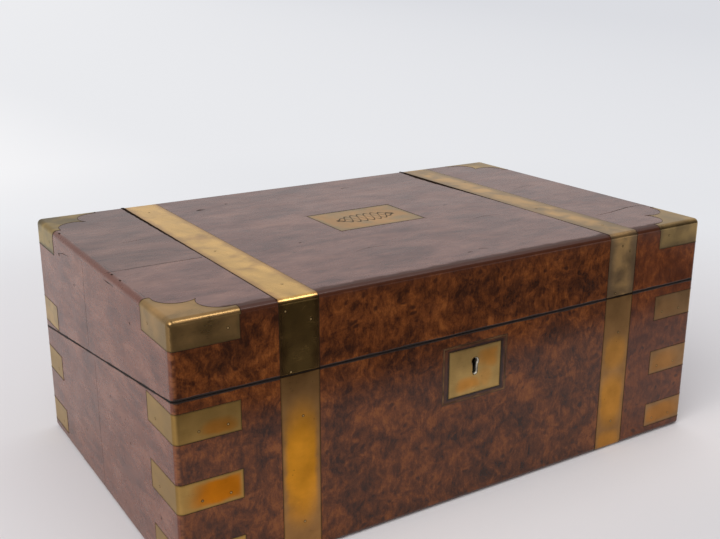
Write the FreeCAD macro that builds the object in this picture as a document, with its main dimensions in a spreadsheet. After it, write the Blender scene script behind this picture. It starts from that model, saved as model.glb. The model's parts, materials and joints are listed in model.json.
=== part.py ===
import FreeCAD, Part
import os
import re
import Sketcher
from FreeCAD import Placement, Rotation, Vector

# Walnut writing box bound in let-in brass, cut on a slope so that it opens flat.
# Origin: middle of the flat bottom. X runs along the width, Y to the back, Z up, in millimetres.
# The rim plane runs from the hinge pin, at half the height of the back, up to the front rim.
# The rim frame has its origin on the hinge pin: its Y lies in the rim plane and points away
# from the lock, its Z is square to the rim plane. The base lies below it, the lid above it.

SIZES = {
    "case": {
        "box_width": 400,
        "box_depth": 248,
        "box_height": 160,
        "front_rim": 115.3,
        "edge_round": 3.5,
        "shut_gap": 0.4,
        "wall": 10,
        "top_board": 9,
        "floor_board": 8,
    },
    "brass_inlay": {
        "brass_thick": 1.5,
        "strap_offset": 124.5,
        "strap_width": 25,
        "strap_foot": 0.8,
        "corner_leaf": 39,
        "back_leaf": 34.5,
        "corner_height": 18,
        "low_corner": 7,
        "mid_corner": 48.5,
        "high_corner_drop": 25.3,
        "lid_corner_rise": 6,
        "bracket_leaf": 40,
        "bracket_drop": 17,
        "bracket_reach": 41,
        "bracket_arm": 5.8,
        "bracket_scallop": 13.2,
        "bracket_tip": 3.5,
        "plate_length": 69,
        "plate_width": 48,
        "plate_shift": 4.5,
    },
    "lock": {
        "scutcheon_width": 41,
        "scutcheon_height": 31,
        "scutcheon_drop": 41.8,
        "string_margin": 4.5,
        "string_rise": 3.4,
        "string_width": 1,
        "keyhole_rim_drop": 20.6,
        "keyhole_round": 2.9,
        "keyhole_slot": 4,
        "keyhole_drop": 9,
        "lock_width": 60,
        "lock_height": 35.3,
        "lock_setback": 2.8,
        "lock_depth": 8,
        "lock_sheet": 1.2,
        "selvedge_length": 72,
        "selvedge_inset": 2.5,
        "selvedge_thick": 1.6,
        "staple_offset": 12,
        "staple_lean": 0.5,
        "staple_thick": 1.6,
        "staple_width": 4,
        "staple_depth": 8.5,
        "staple_hole_top": 3.6,
        "bolt_thick": 2.2,
        "bolt_prong": 2.4,
        "bolt_prong_length": 6.5,
        "bolt_post": 3,
        "bolt_bar_top": 9.6,
        "bolt_bar": 2.9,
        "bolt_reach": 0.6,
        "lock_clearance": 0.3,
        "slot_clearance": 0.6,
    },
    "hinges": {
        "pin_standoff": 0.6,
        "hinge_offset": 80,
        "hinge_length": 50,
        "leaf_width": 9.6,
        "leaf_thick": 1.6,
        "knuckle_radius": 2.6,
        "knuckle_gap": 0.3,
        "pin_radius": 1.2,
        "pin_clearance": 0.05,
        "pin_head": 0.9,
        "pin_head_radius": 1.9,
        "notch_clearance": 0.35,
    },
    "flaps": {
        "flap_thick": 8,
        "flap_sink": 0.8,
        "flap_gap": 0.5,
        "flap_border": 16,
        "leather_thick": 0.8,
        "thumb_radius": 14,
        "thumb_depth": 7,
        "pivot_radius": 1.5,
        "pivot_in_wall": 5,
        "pivot_in_flap": 6,
        "ledge_width": 7,
        "ledge_height": 6,
        "ledge_stop": 12,
        "rest_gap": 0.3,
        "catch_offset": 92,
        "catch_radius": 7,
        "catch_inset": 2.5,
        "catch_thick": 1.4,
        "catch_clearance": 0.3,
        "catch_stem": 1.2,
        "catch_stem_length": 8,
    },
    "fittings": {
        "tray_bay": 50,
        "partition": 6,
        "deck_high": 48,
        "deck_thick": 5,
        "fitting_sink": 1.4,
        "ink_bay": 46,
        "divider": 8,
        "divider_step": 4,
        "tray_drop": 13.3,
        "tray_thick": 20,
        "tray_gap": 0.3,
        "trough_radius": 19,
        "trough_rise": 5,
        "trough_end": 12,
        "glass_side": 38,
        "glass_high": 30,
        "glass_bevel": 4,
        "glass_neck": 12,
        "glass_neck_high": 4,
        "glass_bore": 8.5,
        "glass_base": 5,
        "cap_radius": 15,
        "cap_skirt": 5,
        "cap_dome": 4,
        "cap_shoulder": 10.5,
        "cap_stalk": 2,
        "cap_button": 3,
        "cap_wall": 1,
        "drawer_divider": 6,
        "drawer_gap": 0.5,
        "drawer_wall": 4,
        "drawer_front": 7,
        "knob_radius": 5,
        "knob_foot": 3.5,
        "knob_waist": 2.1,
        "knob_waist_out": 3.2,
        "knob_widest_out": 6.5,
        "knob_length": 9,
        "knob_neck": 2,
    },
}

ALIASES = [name for group in SIZES.values() for name in group]
ALIAS_PATTERN = re.compile(r"\b(" + "|".join(ALIASES) + r")\b")
MARGIN = 10
TURN_TO = {"x": Rotation(Vector(0, 1, 0), 90), "y": Rotation(Vector(1, 0, 0), -90), "z": Rotation()}

# Places that several pieces share, worked out from the sizes
TILT = "atan((front_rim - box_height / 2) / (box_depth + pin_standoff))"
LEFT = "(0 - box_width / 2)"
FRONT = "(0 - box_depth / 2)"
BACK = "(box_depth / 2)"
INNER_LEFT = "(wall - box_width / 2)"
INNER_FRONT = "(wall - box_depth / 2)"
INNER_BACK = "(box_depth / 2 - wall)"
RIM_DROP = "(shut_gap / 2)"
FLAP_FACE = "(shut_gap / 2 + flap_sink)"
FLAP_INSIDE = "(shut_gap / 2 + flap_sink + flap_thick)"
PIVOT_DROP = "(shut_gap / 2 + flap_sink + flap_thick / 2)"
PARTITION_FRONT = "(wall - box_depth / 2 + tray_bay)"
PARTITION_BACK = "(wall - box_depth / 2 + tray_bay + partition)"
DECK_TOP = "(deck_high + deck_thick)"
LOCK_MIDDLE = "(0 - box_depth / 2 + lock_setback + lock_depth / 2 + staple_lean)"
HIGH_CORNER = "(front_rim - high_corner_drop)"
KEYHOLE_HIGH = "(front_rim - keyhole_rim_drop)"
TRAY_TOP = "(front_rim - tray_drop)"
KNUCKLES = 5

doc = FreeCAD.newDocument("writing_box")


def make_sheet():
    """Write every size on the sheet as a plain number with its own name."""
    sheet = doc.addObject("Spreadsheet::Sheet", "Sizes")
    row = 1
    for group, sizes in SIZES.items():
        sheet.set(f"A{row}", group.replace("_", " "))
        row += 1
        for name, value in sizes.items():
            sheet.set(f"A{row}", name.replace("_", " "))
            sheet.set(f"B{row}", str(value))
            sheet.setAlias(f"B{row}", name)
            row += 1
    doc.recompute()


def sized(text):
    """Return an expression in which each size is read from the sheet."""
    return ALIAS_PATTERN.sub(r"Sizes.\1", str(text))


def along_rim(world_y, above="0"):
    """Return the rim frame's Y of a point at a box Y, at a height square to the rim plane."""
    reach = f"(({world_y}) - box_depth / 2 - pin_standoff - ({above}) * sin({TILT}))"
    return f"({reach} / cos({TILT}))"


def make_rim_frame():
    """Set the frame of the sloping rim on the hinge pin's axis."""
    frame = doc.addObject("Part::LocalCoordinateSystem", "rim_frame")
    frame.Placement = Placement(Vector(), Rotation(Vector(1, 0, 0), -1))
    frame.setExpression("Placement.Base.y", sized("box_depth / 2 + pin_standoff"))
    frame.setExpression("Placement.Base.z", sized("box_height / 2"))
    frame.setExpression("Placement.Rotation.Angle", sized(f"-1 * {TILT}"))
    doc.recompute()
    return frame


def place(item, corner, frame=None, rotation=None):
    """Put an object's origin at a corner given by expressions, in the box frame or another."""
    start = Placement(Vector(), rotation or Rotation())
    if frame is not None and item.isDerivedFrom("PartDesign::Body"):
        # A body is turned with the rim about X and its corner worked out in the box frame
        item.Placement = Placement(Vector(), Rotation(Vector(1, 0, 0), -1))
        item.setExpression("Placement.Rotation.Angle", sized(f"-1 * {TILT}"))
        x, y, z = corner
        world_y = f"box_depth / 2 + pin_standoff + ({y}) * cos({TILT}) + ({z}) * sin({TILT})"
        world_z = f"box_height / 2 - ({y}) * sin({TILT}) + ({z}) * cos({TILT})"
        corner = (x, world_y, world_z)
        target = "Placement.Base."
    elif frame is None:
        item.Placement = start
        target = "Placement.Base."
    else:
        item.AttachmentSupport = [(frame, "")]
        item.MapMode = "ObjectXY"
        item.AttachmentOffset = start
        target = "AttachmentOffset.Base."
    for letter, value in zip("xyz", corner):
        item.setExpression(target + letter, sized(value))


def block(name, across, deep, high, frame=None):
    """Make a block between two expressions along each axis."""
    item = doc.addObject("Part::Box", name)
    for size, (low, top) in zip(("Length", "Width", "Height"), (across, deep, high)):
        item.setExpression(size, sized(f"({top}) - ({low})"))
    place(item, (across[0], deep[0], high[0]), frame)
    return item


def rod(name, axis, radius, ends, centre, frame=None):
    """Make a round rod along an axis, between two expressions, about a centre on the other two."""
    item = doc.addObject("Part::Cylinder", name)
    item.setExpression("Radius", sized(radius))
    item.setExpression("Height", sized(f"({ends[1]}) - ({ends[0]})"))
    corner = list(centre)
    corner.insert("xyz".index(axis), ends[0])
    place(item, corner, frame, TURN_TO[axis])
    return item


def fuse(name, parts):
    """Join objects, or gather them as one group where they lie apart."""
    item = doc.addObject("Part::MultiFuse", name)
    item.Shapes = parts
    return item


def cut(name, base, tools):
    """Take one or more objects away from another."""
    item = doc.addObject("Part::Cut", name)
    item.Base = base
    item.Tool = tools[0] if len(tools) == 1 else fuse(name + "_cutter", tools)
    return item


def common(name, base, tool):
    """Keep what two objects share."""
    item = doc.addObject("Part::Common", name)
    item.Base = base
    item.Tool = tool
    return item


def mirrored(name, source):
    """Make the right-hand copy of a left-hand piece."""
    item = doc.addObject("Part::Mirroring", name)
    item.Source = source
    item.Normal = Vector(1, 0, 0)
    return item


def draw_outline(body, plane, name, corners, offset="0"):
    """Draw a closed outline of straight lines whose corners are bound to expressions."""
    sketch = body.newObject("Sketcher::SketchObject", name)
    support = next(f for f in body.Origin.OriginFeatures if f.Role == plane)
    sketch.AttachmentSupport = [(support, "")]
    sketch.MapMode = "FlatFace"
    sketch.setExpression("AttachmentOffset.Base.z", sized(offset))
    probe = doc.getObject("Sizes")
    starts = [(probe.evalExpression(sized(x)), probe.evalExpression(sized(y))) for x, y in corners]
    count = len(corners)
    for index, start in enumerate(starts):
        end = starts[(index + 1) % count]
        sketch.addGeometry(Part.LineSegment(Vector(*start, 0), Vector(*end, 0)))
    for index in range(count):
        sketch.addConstraint(Sketcher.Constraint("Coincident", index, 2, (index + 1) % count, 1))
    for index, (corner, start) in enumerate(zip(corners, starts)):
        for axis, kind in enumerate(("DistanceX", "DistanceY")):
            number = sketch.addConstraint(Sketcher.Constraint(kind, index, 1, float(start[axis])))
            sketch.renameConstraint(number, f"{kind}{index}")
            sketch.setExpression(f"Constraints.{kind}{index}", sized(corner[axis]))
    return sketch


def rectangle(across, deep):
    """Return the four corners of a rectangle between two expressions on each axis."""
    return [(across[0], deep[0]), (across[1], deep[0]), (across[1], deep[1]), (across[0], deep[1])]


def padded(name, plane, corners, length, offset="0"):
    """Make a body from one outline raised along its plane's normal."""
    body = doc.addObject("PartDesign::Body", name)
    sketch = draw_outline(body, plane, name + "_outline", corners, offset)
    pad = body.newObject("PartDesign::Pad", name + "_pad")
    pad.Profile = sketch
    pad.setExpression("Length", sized(length))
    doc.recompute()
    return body


def rounded(body, radius):
    """Round every edge of a body's last feature."""
    tip = body.Tip
    round_over = body.newObject("PartDesign::Fillet", body.Name + "_round")
    round_over.Base = (tip, [f"Edge{number}" for number in range(1, len(tip.Shape.Edges) + 1)])
    round_over.setExpression("Radius", sized(radius))
    doc.recompute()
    return body


def bevelled(body, size, edges=None):
    """Bevel the edges of a body's last feature: all of them, or those that a test keeps."""
    tip = body.Tip
    names = [
        f"Edge{number}"
        for number, edge in enumerate(tip.Shape.Edges, 1)
        if edges is None or edges(edge)
    ]
    bevel = body.newObject("PartDesign::Chamfer", body.Name + "_bevel")
    bevel.Base = (tip, names)
    bevel.setExpression("Size", sized(size))
    doc.recompute()
    return body


def turned(name, corners):
    """Make a body turned about its own Z from an outline of radius and height."""
    body = doc.addObject("PartDesign::Body", name)
    sketch = draw_outline(body, "XZ_Plane", name + "_outline", corners)
    turn = body.newObject("PartDesign::Revolution", name + "_turn")
    turn.Profile = sketch
    turn.ReferenceAxis = (sketch, ["V_Axis"])
    turn.Angle = 360
    doc.recompute()
    return body


def closed_form(name, inset):
    """Make the block that the closed box fills, drawn in by an inset."""
    corners = rectangle(
        (f"{LEFT} + {inset}", f"box_width / 2 - {inset}"),
        (f"{FRONT} + {inset}", f"box_depth / 2 - {inset}"),
    )
    return padded(name, "XY_Plane", corners, f"box_height - 2 * {inset}", inset)


def keyhole_cutter():
    """Make the keyhole's cutter, from in front of the face into the lock."""
    ends = (f"{FRONT} - {MARGIN}", f"{FRONT} + lock_setback + 2 * lock_sheet")
    foot = f"{KEYHOLE_HIGH} - keyhole_drop + keyhole_slot / 2"
    eye = rod("keyhole_eye", "y", "keyhole_round", ends, ("0", KEYHOLE_HIGH))
    toe = rod("keyhole_toe", "y", "keyhole_slot / 2", ends, ("0", foot))
    wide = ("0 - keyhole_slot / 2", "keyhole_slot / 2")
    slot = block("keyhole_slot_cut", wide, ends, (foot, KEYHOLE_HIGH))
    return fuse("keyhole_cut", [eye, toe, slot])


def strap_footprint(name, deep):
    """Make the upright band that a left-hand strap covers."""
    across = ("0 - strap_offset - strap_width / 2", "strap_width / 2 - strap_offset")
    return block(name, across, deep, ("strap_foot", f"box_height + {MARGIN}"))


def corner_footprints(name, leaf, bottoms, front=True):
    """Make the blocks that a left-hand corner's straps cover, one above the other."""
    deep = (f"{FRONT} - {MARGIN}", f"{FRONT} + {leaf}")
    if not front:
        deep = (f"{BACK} - {leaf}", f"{BACK} + {MARGIN}")
    bands = []
    for number, bottom in enumerate(bottoms, 1):
        high = (bottom, f"{bottom} + corner_height")
        bands.append(block(f"{name}_{number}", (f"{LEFT} - {MARGIN}", f"{LEFT} + {leaf}"), deep, high))
    return bands[0] if len(bands) == 1 else fuse(name + "s", bands)


def bracket_footprint(name, front):
    """Make the space of a left-hand lid bracket: a scalloped top leaf and two side leaves."""
    side = 1 if front else -1
    edge = FRONT if front else BACK

    def deep(near, far):
        """Return a Y range measured inwards from this corner's edge."""
        first = f"{edge} + {side} * ({near})"
        last = f"{edge} + {side} * ({far})"
        return (first, last) if front else (last, first)

    def across(near, far):
        """Return an X range measured inwards from the left edge."""
        return (f"{LEFT} + ({near})", f"{LEFT} + ({far})")

    high = ("box_height - edge_round", f"box_height + {MARGIN}")
    centre = "(bracket_arm + bracket_scallop)"
    shoulder = "(bracket_reach - bracket_tip)"
    spread = f"(2 * bracket_scallop ^ 2 - ({centre} - {shoulder}) ^ 2)"
    cusp = f"(({centre} + {shoulder} - sqrt({spread})) / 2)"
    outside = f"0 - {MARGIN}"
    top = block(name + "_top", across(outside, "bracket_reach"), deep(outside, "bracket_reach"), high)
    hollows = [
        rod(
            f"{name}_hollow_{number}",
            "z",
            "bracket_scallop",
            high,
            (f"{LEFT} + {along}", f"{edge} + {side} * {inward}"),
        )
        for number, (along, inward) in enumerate([(centre, shoulder), (shoulder, centre)], 1)
    ]
    past = f"bracket_reach + {MARGIN}"
    clears = [
        block(name + "_clear_1", across(cusp, past), deep(cusp, past), high),
        block(name + "_clear_2", across("bracket_arm", past), deep(shoulder, past), high),
        block(name + "_clear_3", across(shoulder, past), deep("bracket_arm", past), high),
    ]
    scalloped = cut(name + "_scalloped", top, hollows + clears)
    leaf_high = ("box_height - bracket_drop", high[1])
    face = block(name + "_face", across(outside, "bracket_leaf"), deep(outside, "edge_round"), leaf_high)
    end = block(name + "_end", across(outside, "edge_round"), deep(outside, "bracket_leaf"), leaf_high)
    return fuse(name, [scalloped, face, end])


def make_base_brass(skin, keyhole):
    """Make the brass let into the base's outer faces."""
    on_front = (f"{FRONT} - {MARGIN}", f"{FRONT} + edge_round")
    on_back = (f"{BACK} - edge_round", f"{BACK} + {MARGIN}")
    front_strap = common("base_strap_front_left", skin, strap_footprint("front_strap_space", on_front))
    back_space = strap_footprint("back_strap_space", on_back)
    back_straps = common("base_straps_back", skin, both_sides("back_strap_spaces", back_space))
    bottoms = ["low_corner", "mid_corner", HIGH_CORNER]
    front_space = corner_footprints("front_corner_space", "corner_leaf", bottoms)
    back_space = corner_footprints("back_corner_space", "back_leaf", bottoms[:2], front=False)
    front_corners = common("base_corners_front_left", skin, front_space)
    back_corners = common("base_corners_back_left", skin, back_space)
    pieces = [front_strap, front_corners, back_corners]
    pieces += [mirrored(piece.Name.replace("left", "right"), piece) for piece in pieces]
    pieces.append(back_straps)
    half = "scutcheon_width / 2"
    tall = ("front_rim - scutcheon_drop", "front_rim - scutcheon_drop + scutcheon_height")
    plate = block("scutcheon_space", (f"0 - {half}", half), on_front, tall)
    pieces.append(cut("escutcheon_plate", common("scutcheon_blank", skin, plate), [keyhole]))
    frames = []
    for number, line in enumerate(["0", "string_width"], 1):
        reach = f"({half} + string_margin - {line})"
        high = (f"{tall[0]} - string_rise + {line}", f"{tall[1]} + string_rise - {line}")
        frames.append(block(f"string_frame_{number}", (f"0 - {reach}", reach), on_front, high))
    ring = cut("string_ring", frames[0], [frames[1]])
    pieces.append(common("escutcheon_stringing", skin, ring))
    return pieces


def make_lid_brass(skin):
    """Make the brass let into the lid's outer faces."""
    all_deep = (f"{FRONT} - {MARGIN}", f"{BACK} + {MARGIN}")
    strap = common("lid_strap_left", skin, strap_footprint("lid_strap_space", all_deep))
    pieces = [strap]
    for place_name, front in (("front", True), ("back", False)):
        space = bracket_footprint(f"lid_bracket_{place_name}_space", front)
        pieces.append(common(f"lid_bracket_{place_name}_left", skin, space))
    pieces += [mirrored(piece.Name.replace("left", "right"), piece) for piece in pieces]
    bottom = "(box_height / 2 + lid_corner_rise)"
    space = corner_footprints("lid_corner_space", "back_leaf", [bottom], front=False)
    pieces.append(common("lid_corners_back", skin, both_sides("lid_corner_spaces", space)))
    across = ("0 - plate_length / 2", "plate_length / 2")
    deep = ("plate_shift - plate_width / 2", "plate_shift + plate_width / 2")
    plate = block("plate_space", across, deep, ("box_height - edge_round", f"box_height + {MARGIN}"))
    pieces.append(common("initial_plate", skin, plate))
    return pieces


def board(name, wood, across, deep, high):
    """Saw one board out of the carcass between two expressions along each axis."""
    return common(name, wood, block(name + "_space", across, deep, high))


def hinge_spans(lid_leaf):
    """Return the X ranges of the knuckles that one leaf of the left hinge carries."""
    pitch = f"(hinge_length / {KNUCKLES})"
    start = "(0 - hinge_offset - hinge_length / 2)"
    spans = []
    for number in range(KNUCKLES):
        if (number % 2 == 1) == lid_leaf:
            low = f"{start} + {number} * {pitch} + knuckle_gap / 2"
            spans.append((low, f"{start} + {number + 1} * {pitch} - knuckle_gap / 2"))
    return spans


def hinge_mortise(name, side, frame):
    """Make the cutter that lets the left hinge's leaf and knuckles into a rim."""
    across = ("0 - hinge_offset - hinge_length / 2", "hinge_length / 2 - hinge_offset")
    bed = leaf_plate(name + "_bed", side, frame)
    ends = (f"{across[0]} - pin_head - notch_clearance", f"{across[1]} + pin_head + notch_clearance")
    hollow = rod(name + "_hollow", "x", "knuckle_radius + notch_clearance", ends, ("0", "0"), frame)
    return fuse(name, [bed, hollow])


def leaf_plate(name, side, frame):
    """Make the flat of a left hinge's leaf, let in flush with its rim: side is -1 below, 1 above."""
    across = ("0 - hinge_offset - hinge_length / 2", "hinge_length / 2 - hinge_offset")
    faces = [RIM_DROP, f"({RIM_DROP} + leaf_thick)"]
    high = (f"0 - {faces[1]}", f"0 - {faces[0]}") if side < 0 else (faces[0], faces[1])
    return block(name, across, ("0 - leaf_width", "0"), high, frame)


def hinge_leaf(name, side, frame):
    """Make one leaf of the left hinge: its flat, its knuckles and the pin's bore."""
    spans = hinge_spans(lid_leaf=side > 0)
    others = hinge_spans(lid_leaf=side < 0)
    flat = leaf_plate(name + "_flat", side, frame)
    room = [
        rod(
            f"{name}_room_{number}",
            "x",
            "knuckle_radius + notch_clearance",
            (f"{low} - knuckle_gap", f"{top} + knuckle_gap"),
            ("0", "0"),
            frame,
        )
        for number, (low, top) in enumerate(others, 1)
    ]
    knuckles = [
        rod(f"{name}_knuckle_{number}", "x", "knuckle_radius", span, ("0", "0"), frame)
        for number, span in enumerate(spans, 1)
    ]
    trimmed = cut(name + "_trimmed", flat, room)
    solid = fuse(name + "_solid", [trimmed] + knuckles)
    ends = (f"0 - hinge_offset - hinge_length / 2 - {MARGIN}", f"hinge_length / 2 - hinge_offset + {MARGIN}")
    bore = rod(name + "_bore", "x", "pin_radius + pin_clearance", ends, ("0", "0"), frame)
    return cut(name, solid, [bore])


def make_hinges(frame):
    """Make both hinges: two leaves and a headed pin each."""
    start = "0 - hinge_offset - hinge_length / 2"
    end = "hinge_length / 2 - hinge_offset"
    shank = rod("hinge_pin_shank", "x", "pin_radius", (start, end), ("0", "0"), frame)
    heads = [
        rod(f"hinge_pin_head_{number}", "x", "pin_head_radius", ends, ("0", "0"), frame)
        for number, ends in enumerate([(f"{start} - pin_head", start), (end, f"{end} + pin_head")], 1)
    ]
    left = [
        hinge_leaf("hinge_base_leaf_left", -1, frame),
        hinge_leaf("hinge_lid_leaf_left", 1, frame),
        fuse("hinge_pin_left", [shank] + heads),
    ]
    return left + [mirrored(piece.Name.replace("left", "right"), piece) for piece in left]


def both_sides(name, left_piece):
    """Gather a left-hand piece and its mirror image as one cutter."""
    return fuse(name, [left_piece, mirrored(name + "_other", left_piece)])


def staple_spans(grow="0"):
    """Return the X ranges of the two staples of the link plate, widened by a clearance."""
    half = f"(staple_thick / 2 + {grow})"
    return [(f"{side} * staple_offset - {half}", f"{side} * staple_offset + {half}") for side in (-1, 1)]


def make_lock(frame, keyhole):
    """Make the lock: case with its selvedge, sliding bolt, and link plate with two staples."""
    middle = along_rim(LOCK_MIDDLE)
    rim_deep = (along_rim(f"{FRONT} + selvedge_inset"), along_rim(f"{INNER_FRONT}"))
    lock_front = f"({FRONT} + lock_setback)"
    lock_back = f"({FRONT} + lock_setback + lock_depth)"
    body = block(
        "lock_body",
        ("0 - lock_width / 2", "lock_width / 2"),
        (lock_front, lock_back),
        ("front_rim - lock_height", f"front_rim + {MARGIN}"),
    )
    across = ("0 - box_width", "box_width")
    deep = ("0 - 2 * box_depth", "box_depth")
    below = block("below_selvedge", across, deep, ("0 - 2 * box_height", f"0 - {RIM_DROP}"), frame)
    case = common("lock_case_block", body, below)
    selvedge_high = (f"0 - {RIM_DROP} - selvedge_thick", f"0 - {RIM_DROP}")
    selvedge = block(
        "lock_selvedge",
        ("0 - selvedge_length / 2", "selvedge_length / 2"),
        rim_deep,
        selvedge_high,
        frame,
    )
    hollow_block = block(
        "lock_hollow_block",
        ("lock_sheet - lock_width / 2", "lock_width / 2 - lock_sheet"),
        (f"{lock_front} + lock_sheet", f"{lock_back} - lock_sheet"),
        ("front_rim - lock_height + lock_sheet", f"front_rim + {MARGIN}"),
    )
    under = block("under_selvedge", across, deep, ("0 - 2 * box_height", selvedge_high[0]), frame)
    hollow = common("lock_hollow", hollow_block, under)
    half_slot = "(staple_width / 2 + slot_clearance)"
    slot_deep = (f"{middle} - {half_slot}", f"{middle} + {half_slot}")
    slots = [
        block(f"staple_slot_{number}", span, slot_deep, (f"{selvedge_high[0]} - 1", "0"), frame)
        for number, span in enumerate(staple_spans("slot_clearance"), 1)
    ]
    rail_top = "(0 - bolt_bar_top - bolt_bar - lock_clearance)"
    rail_block = block(
        "bolt_rail_block",
        ("0 - lock_width / 2 + lock_sheet", "lock_width / 2 - lock_sheet"),
        (f"{middle} - lock_depth", f"{middle} + lock_depth"),
        (f"{rail_top} - lock_sheet", rail_top),
        frame,
    )
    rail = common("bolt_rail", rail_block, hollow_block)
    shell = cut("lock_shell", fuse("lock_solid", [case, selvedge]), [hollow, keyhole] + slots)
    lock_case = fuse("lock_case", [shell, rail])

    prong_top = "(staple_hole_top + lock_clearance)"
    bar_low = "(bolt_bar_top + bolt_bar)"
    bar_end = "staple_offset + bolt_post"
    corners = [(bar_end, f"0 - {bar_low}"), (bar_end, "0 - bolt_bar_top")]
    for side in (1, -1):
        tip = f"({side} * staple_offset - staple_thick / 2 - bolt_reach)"
        post = f"({tip} - bolt_prong_length)"
        corners += [
            (post, "0 - bolt_bar_top"),
            (post, f"0 - {prong_top} - bolt_prong"),
            (tip, f"0 - {prong_top} - bolt_prong"),
            (tip, f"0 - {prong_top}"),
            (f"{post} - bolt_post", f"0 - {prong_top}"),
        ]
        if side > 0:
            corners.append((f"{post} - bolt_post", "0 - bolt_bar_top"))
    corners.append((f"{post} - bolt_post", f"0 - {bar_low}"))
    bolt = padded("lock_bolt", "XZ_Plane", corners, "bolt_thick", "0 - bolt_thick / 2")
    place(bolt, ("0", middle, "0"), frame)

    plate = block(
        "link_plate_flat",
        ("0 - selvedge_length / 2", "selvedge_length / 2"),
        rim_deep,
        (RIM_DROP, f"{RIM_DROP} + selvedge_thick"),
        frame,
    )
    parts = [plate]
    eyes = []
    staple_deep = (f"{middle} - staple_width / 2", f"{middle} + staple_width / 2")
    staple_high = ("0 - staple_depth", f"{RIM_DROP} + 1")
    eye_half = "(bolt_thick / 2 + lock_clearance)"
    eye_deep = (f"{middle} - {eye_half}", f"{middle} + {eye_half}")
    eye_high = ("0 - staple_hole_top - bolt_prong - 2 * lock_clearance", "0 - staple_hole_top")
    for number, span in enumerate(staple_spans(), 1):
        parts.append(block(f"staple_{number}", span, staple_deep, staple_high, frame))
        eye_across = (f"{span[0]} - 1", f"{span[1]} + 1")
        eyes.append(block(f"staple_eye_{number}", eye_across, eye_deep, eye_high, frame))
    link_plate = cut("link_plate", fuse("link_plate_solid", parts), eyes)
    lock_bed = fuse("lock_bed", [case, selvedge])
    return lock_case, bolt, link_plate, lock_bed, plate


def flap(name, side, frame, front_edge, seat_cuts=()):
    """Make a writing flap and its leather: side is -1 in the base, 1 in the lid."""
    height = f"({side} * {PIVOT_DROP})"
    pivot_y = pivot_along(side)
    half = "flap_thick / 2"
    across = (f"{INNER_LEFT} + flap_gap", "box_width / 2 - wall - flap_gap")
    flat = block(
        name + "_flat",
        across,
        (f"{along_rim(front_edge)} + flap_gap", pivot_y),
        (f"{height} - {half}", f"{height} + {half}"),
        frame,
    )
    nose = rod(name + "_nose", "x", half, across, (pivot_y, height), frame)
    reach = block(
        name + "_reach",
        across,
        (f"{front_edge} + flap_gap", BACK),
        (f"0 - {MARGIN}", f"box_height + {MARGIN}"),
    )
    blank = common(name + "_blank", fuse(name + "_stock", [flat, nose]), reach)
    face = f"({side} * {FLAP_FACE})"
    bed = f"({side} * ({FLAP_FACE} + leather_thick))"
    leather = block(
        name + "_leather",
        (f"{across[0]} + flap_border", f"{across[1]} - flap_border"),
        (along_rim(f"{front_edge} + flap_border"), f"{pivot_y} - flap_border"),
        (bed, face) if side < 0 else (face, bed),
        frame,
    )
    bore_radius = "pivot_radius + pin_clearance"
    bores = [
        rod(f"{name}_bore_{number}", "x", bore_radius, ends, (pivot_y, height), frame)
        for number, ends in enumerate(pivot_ends("0"), 1)
    ]
    notch = rod(
        name + "_thumb_notch",
        "z",
        "thumb_radius",
        (f"{height} - flap_thick", f"{height} + flap_thick"),
        ("0", f"{along_rim(front_edge)} + flap_gap + thumb_depth - thumb_radius"),
        frame,
    )
    return cut(name + "_board", blank, [leather, notch] + bores + list(seat_cuts)), leather


def pivot_along(side):
    """Return the rim frame's Y of a flap's pivot, clear of the back wall."""
    return along_rim(f"{INNER_BACK} - flap_gap - flap_thick / 2", f"{side} * {PIVOT_DROP}")


def pivot_ends(in_wall):
    """Return the X ranges of a flap's two pivots, from a depth in the side walls."""
    inner = f"({INNER_LEFT} - {in_wall})"
    reach = f"({INNER_LEFT} + flap_gap + pivot_in_flap)"
    return [(inner, reach), (f"0 - {reach}", f"0 - {inner}")]


def flap_pivots(name, side, frame):
    """Make the pair of brass pins that a flap turns on."""
    centre = (pivot_along(side), f"{side} * {PIVOT_DROP}")
    pins = []
    for number, (low, top) in enumerate(pivot_ends("pivot_in_wall"), 1):
        span = (low, f"{top} - pin_clearance * 4") if number == 1 else (f"{low} + pin_clearance * 4", top)
        pins.append(rod(f"{name}_{number}", "x", "pivot_radius", span, centre, frame))
    return fuse(name, pins)


def flap_ledges(name, side, frame, front_edge):
    """Make the ledge that a shut flap rests on, round three sides of its well."""
    near = f"({FLAP_INSIDE} + rest_gap)"
    far = f"({near} + ledge_height)"
    high = (f"0 - {far}", f"0 - {near}") if side < 0 else (near, far)
    stop = f"({pivot_along(side)} - ledge_stop)"
    outer = block(name + "_outer", (INNER_LEFT, f"0 - {INNER_LEFT}"), (along_rim(FRONT), stop), high, frame)
    well = block(
        name + "_well",
        (f"{INNER_LEFT} + ledge_width", f"0 - {INNER_LEFT} - ledge_width"),
        (f"{front_edge} + ledge_width", f"{BACK} + {MARGIN}"),
        (f"0 - {MARGIN}", f"box_height + {MARGIN}"),
    )
    inside = block(
        name + "_inside",
        (INNER_LEFT, f"0 - {INNER_LEFT}"),
        (front_edge, INNER_BACK),
        (f"0 - {MARGIN}", f"box_height + {MARGIN}"),
    )
    return cut(name, common(name + "_strips", outer, inside), [well])


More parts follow.
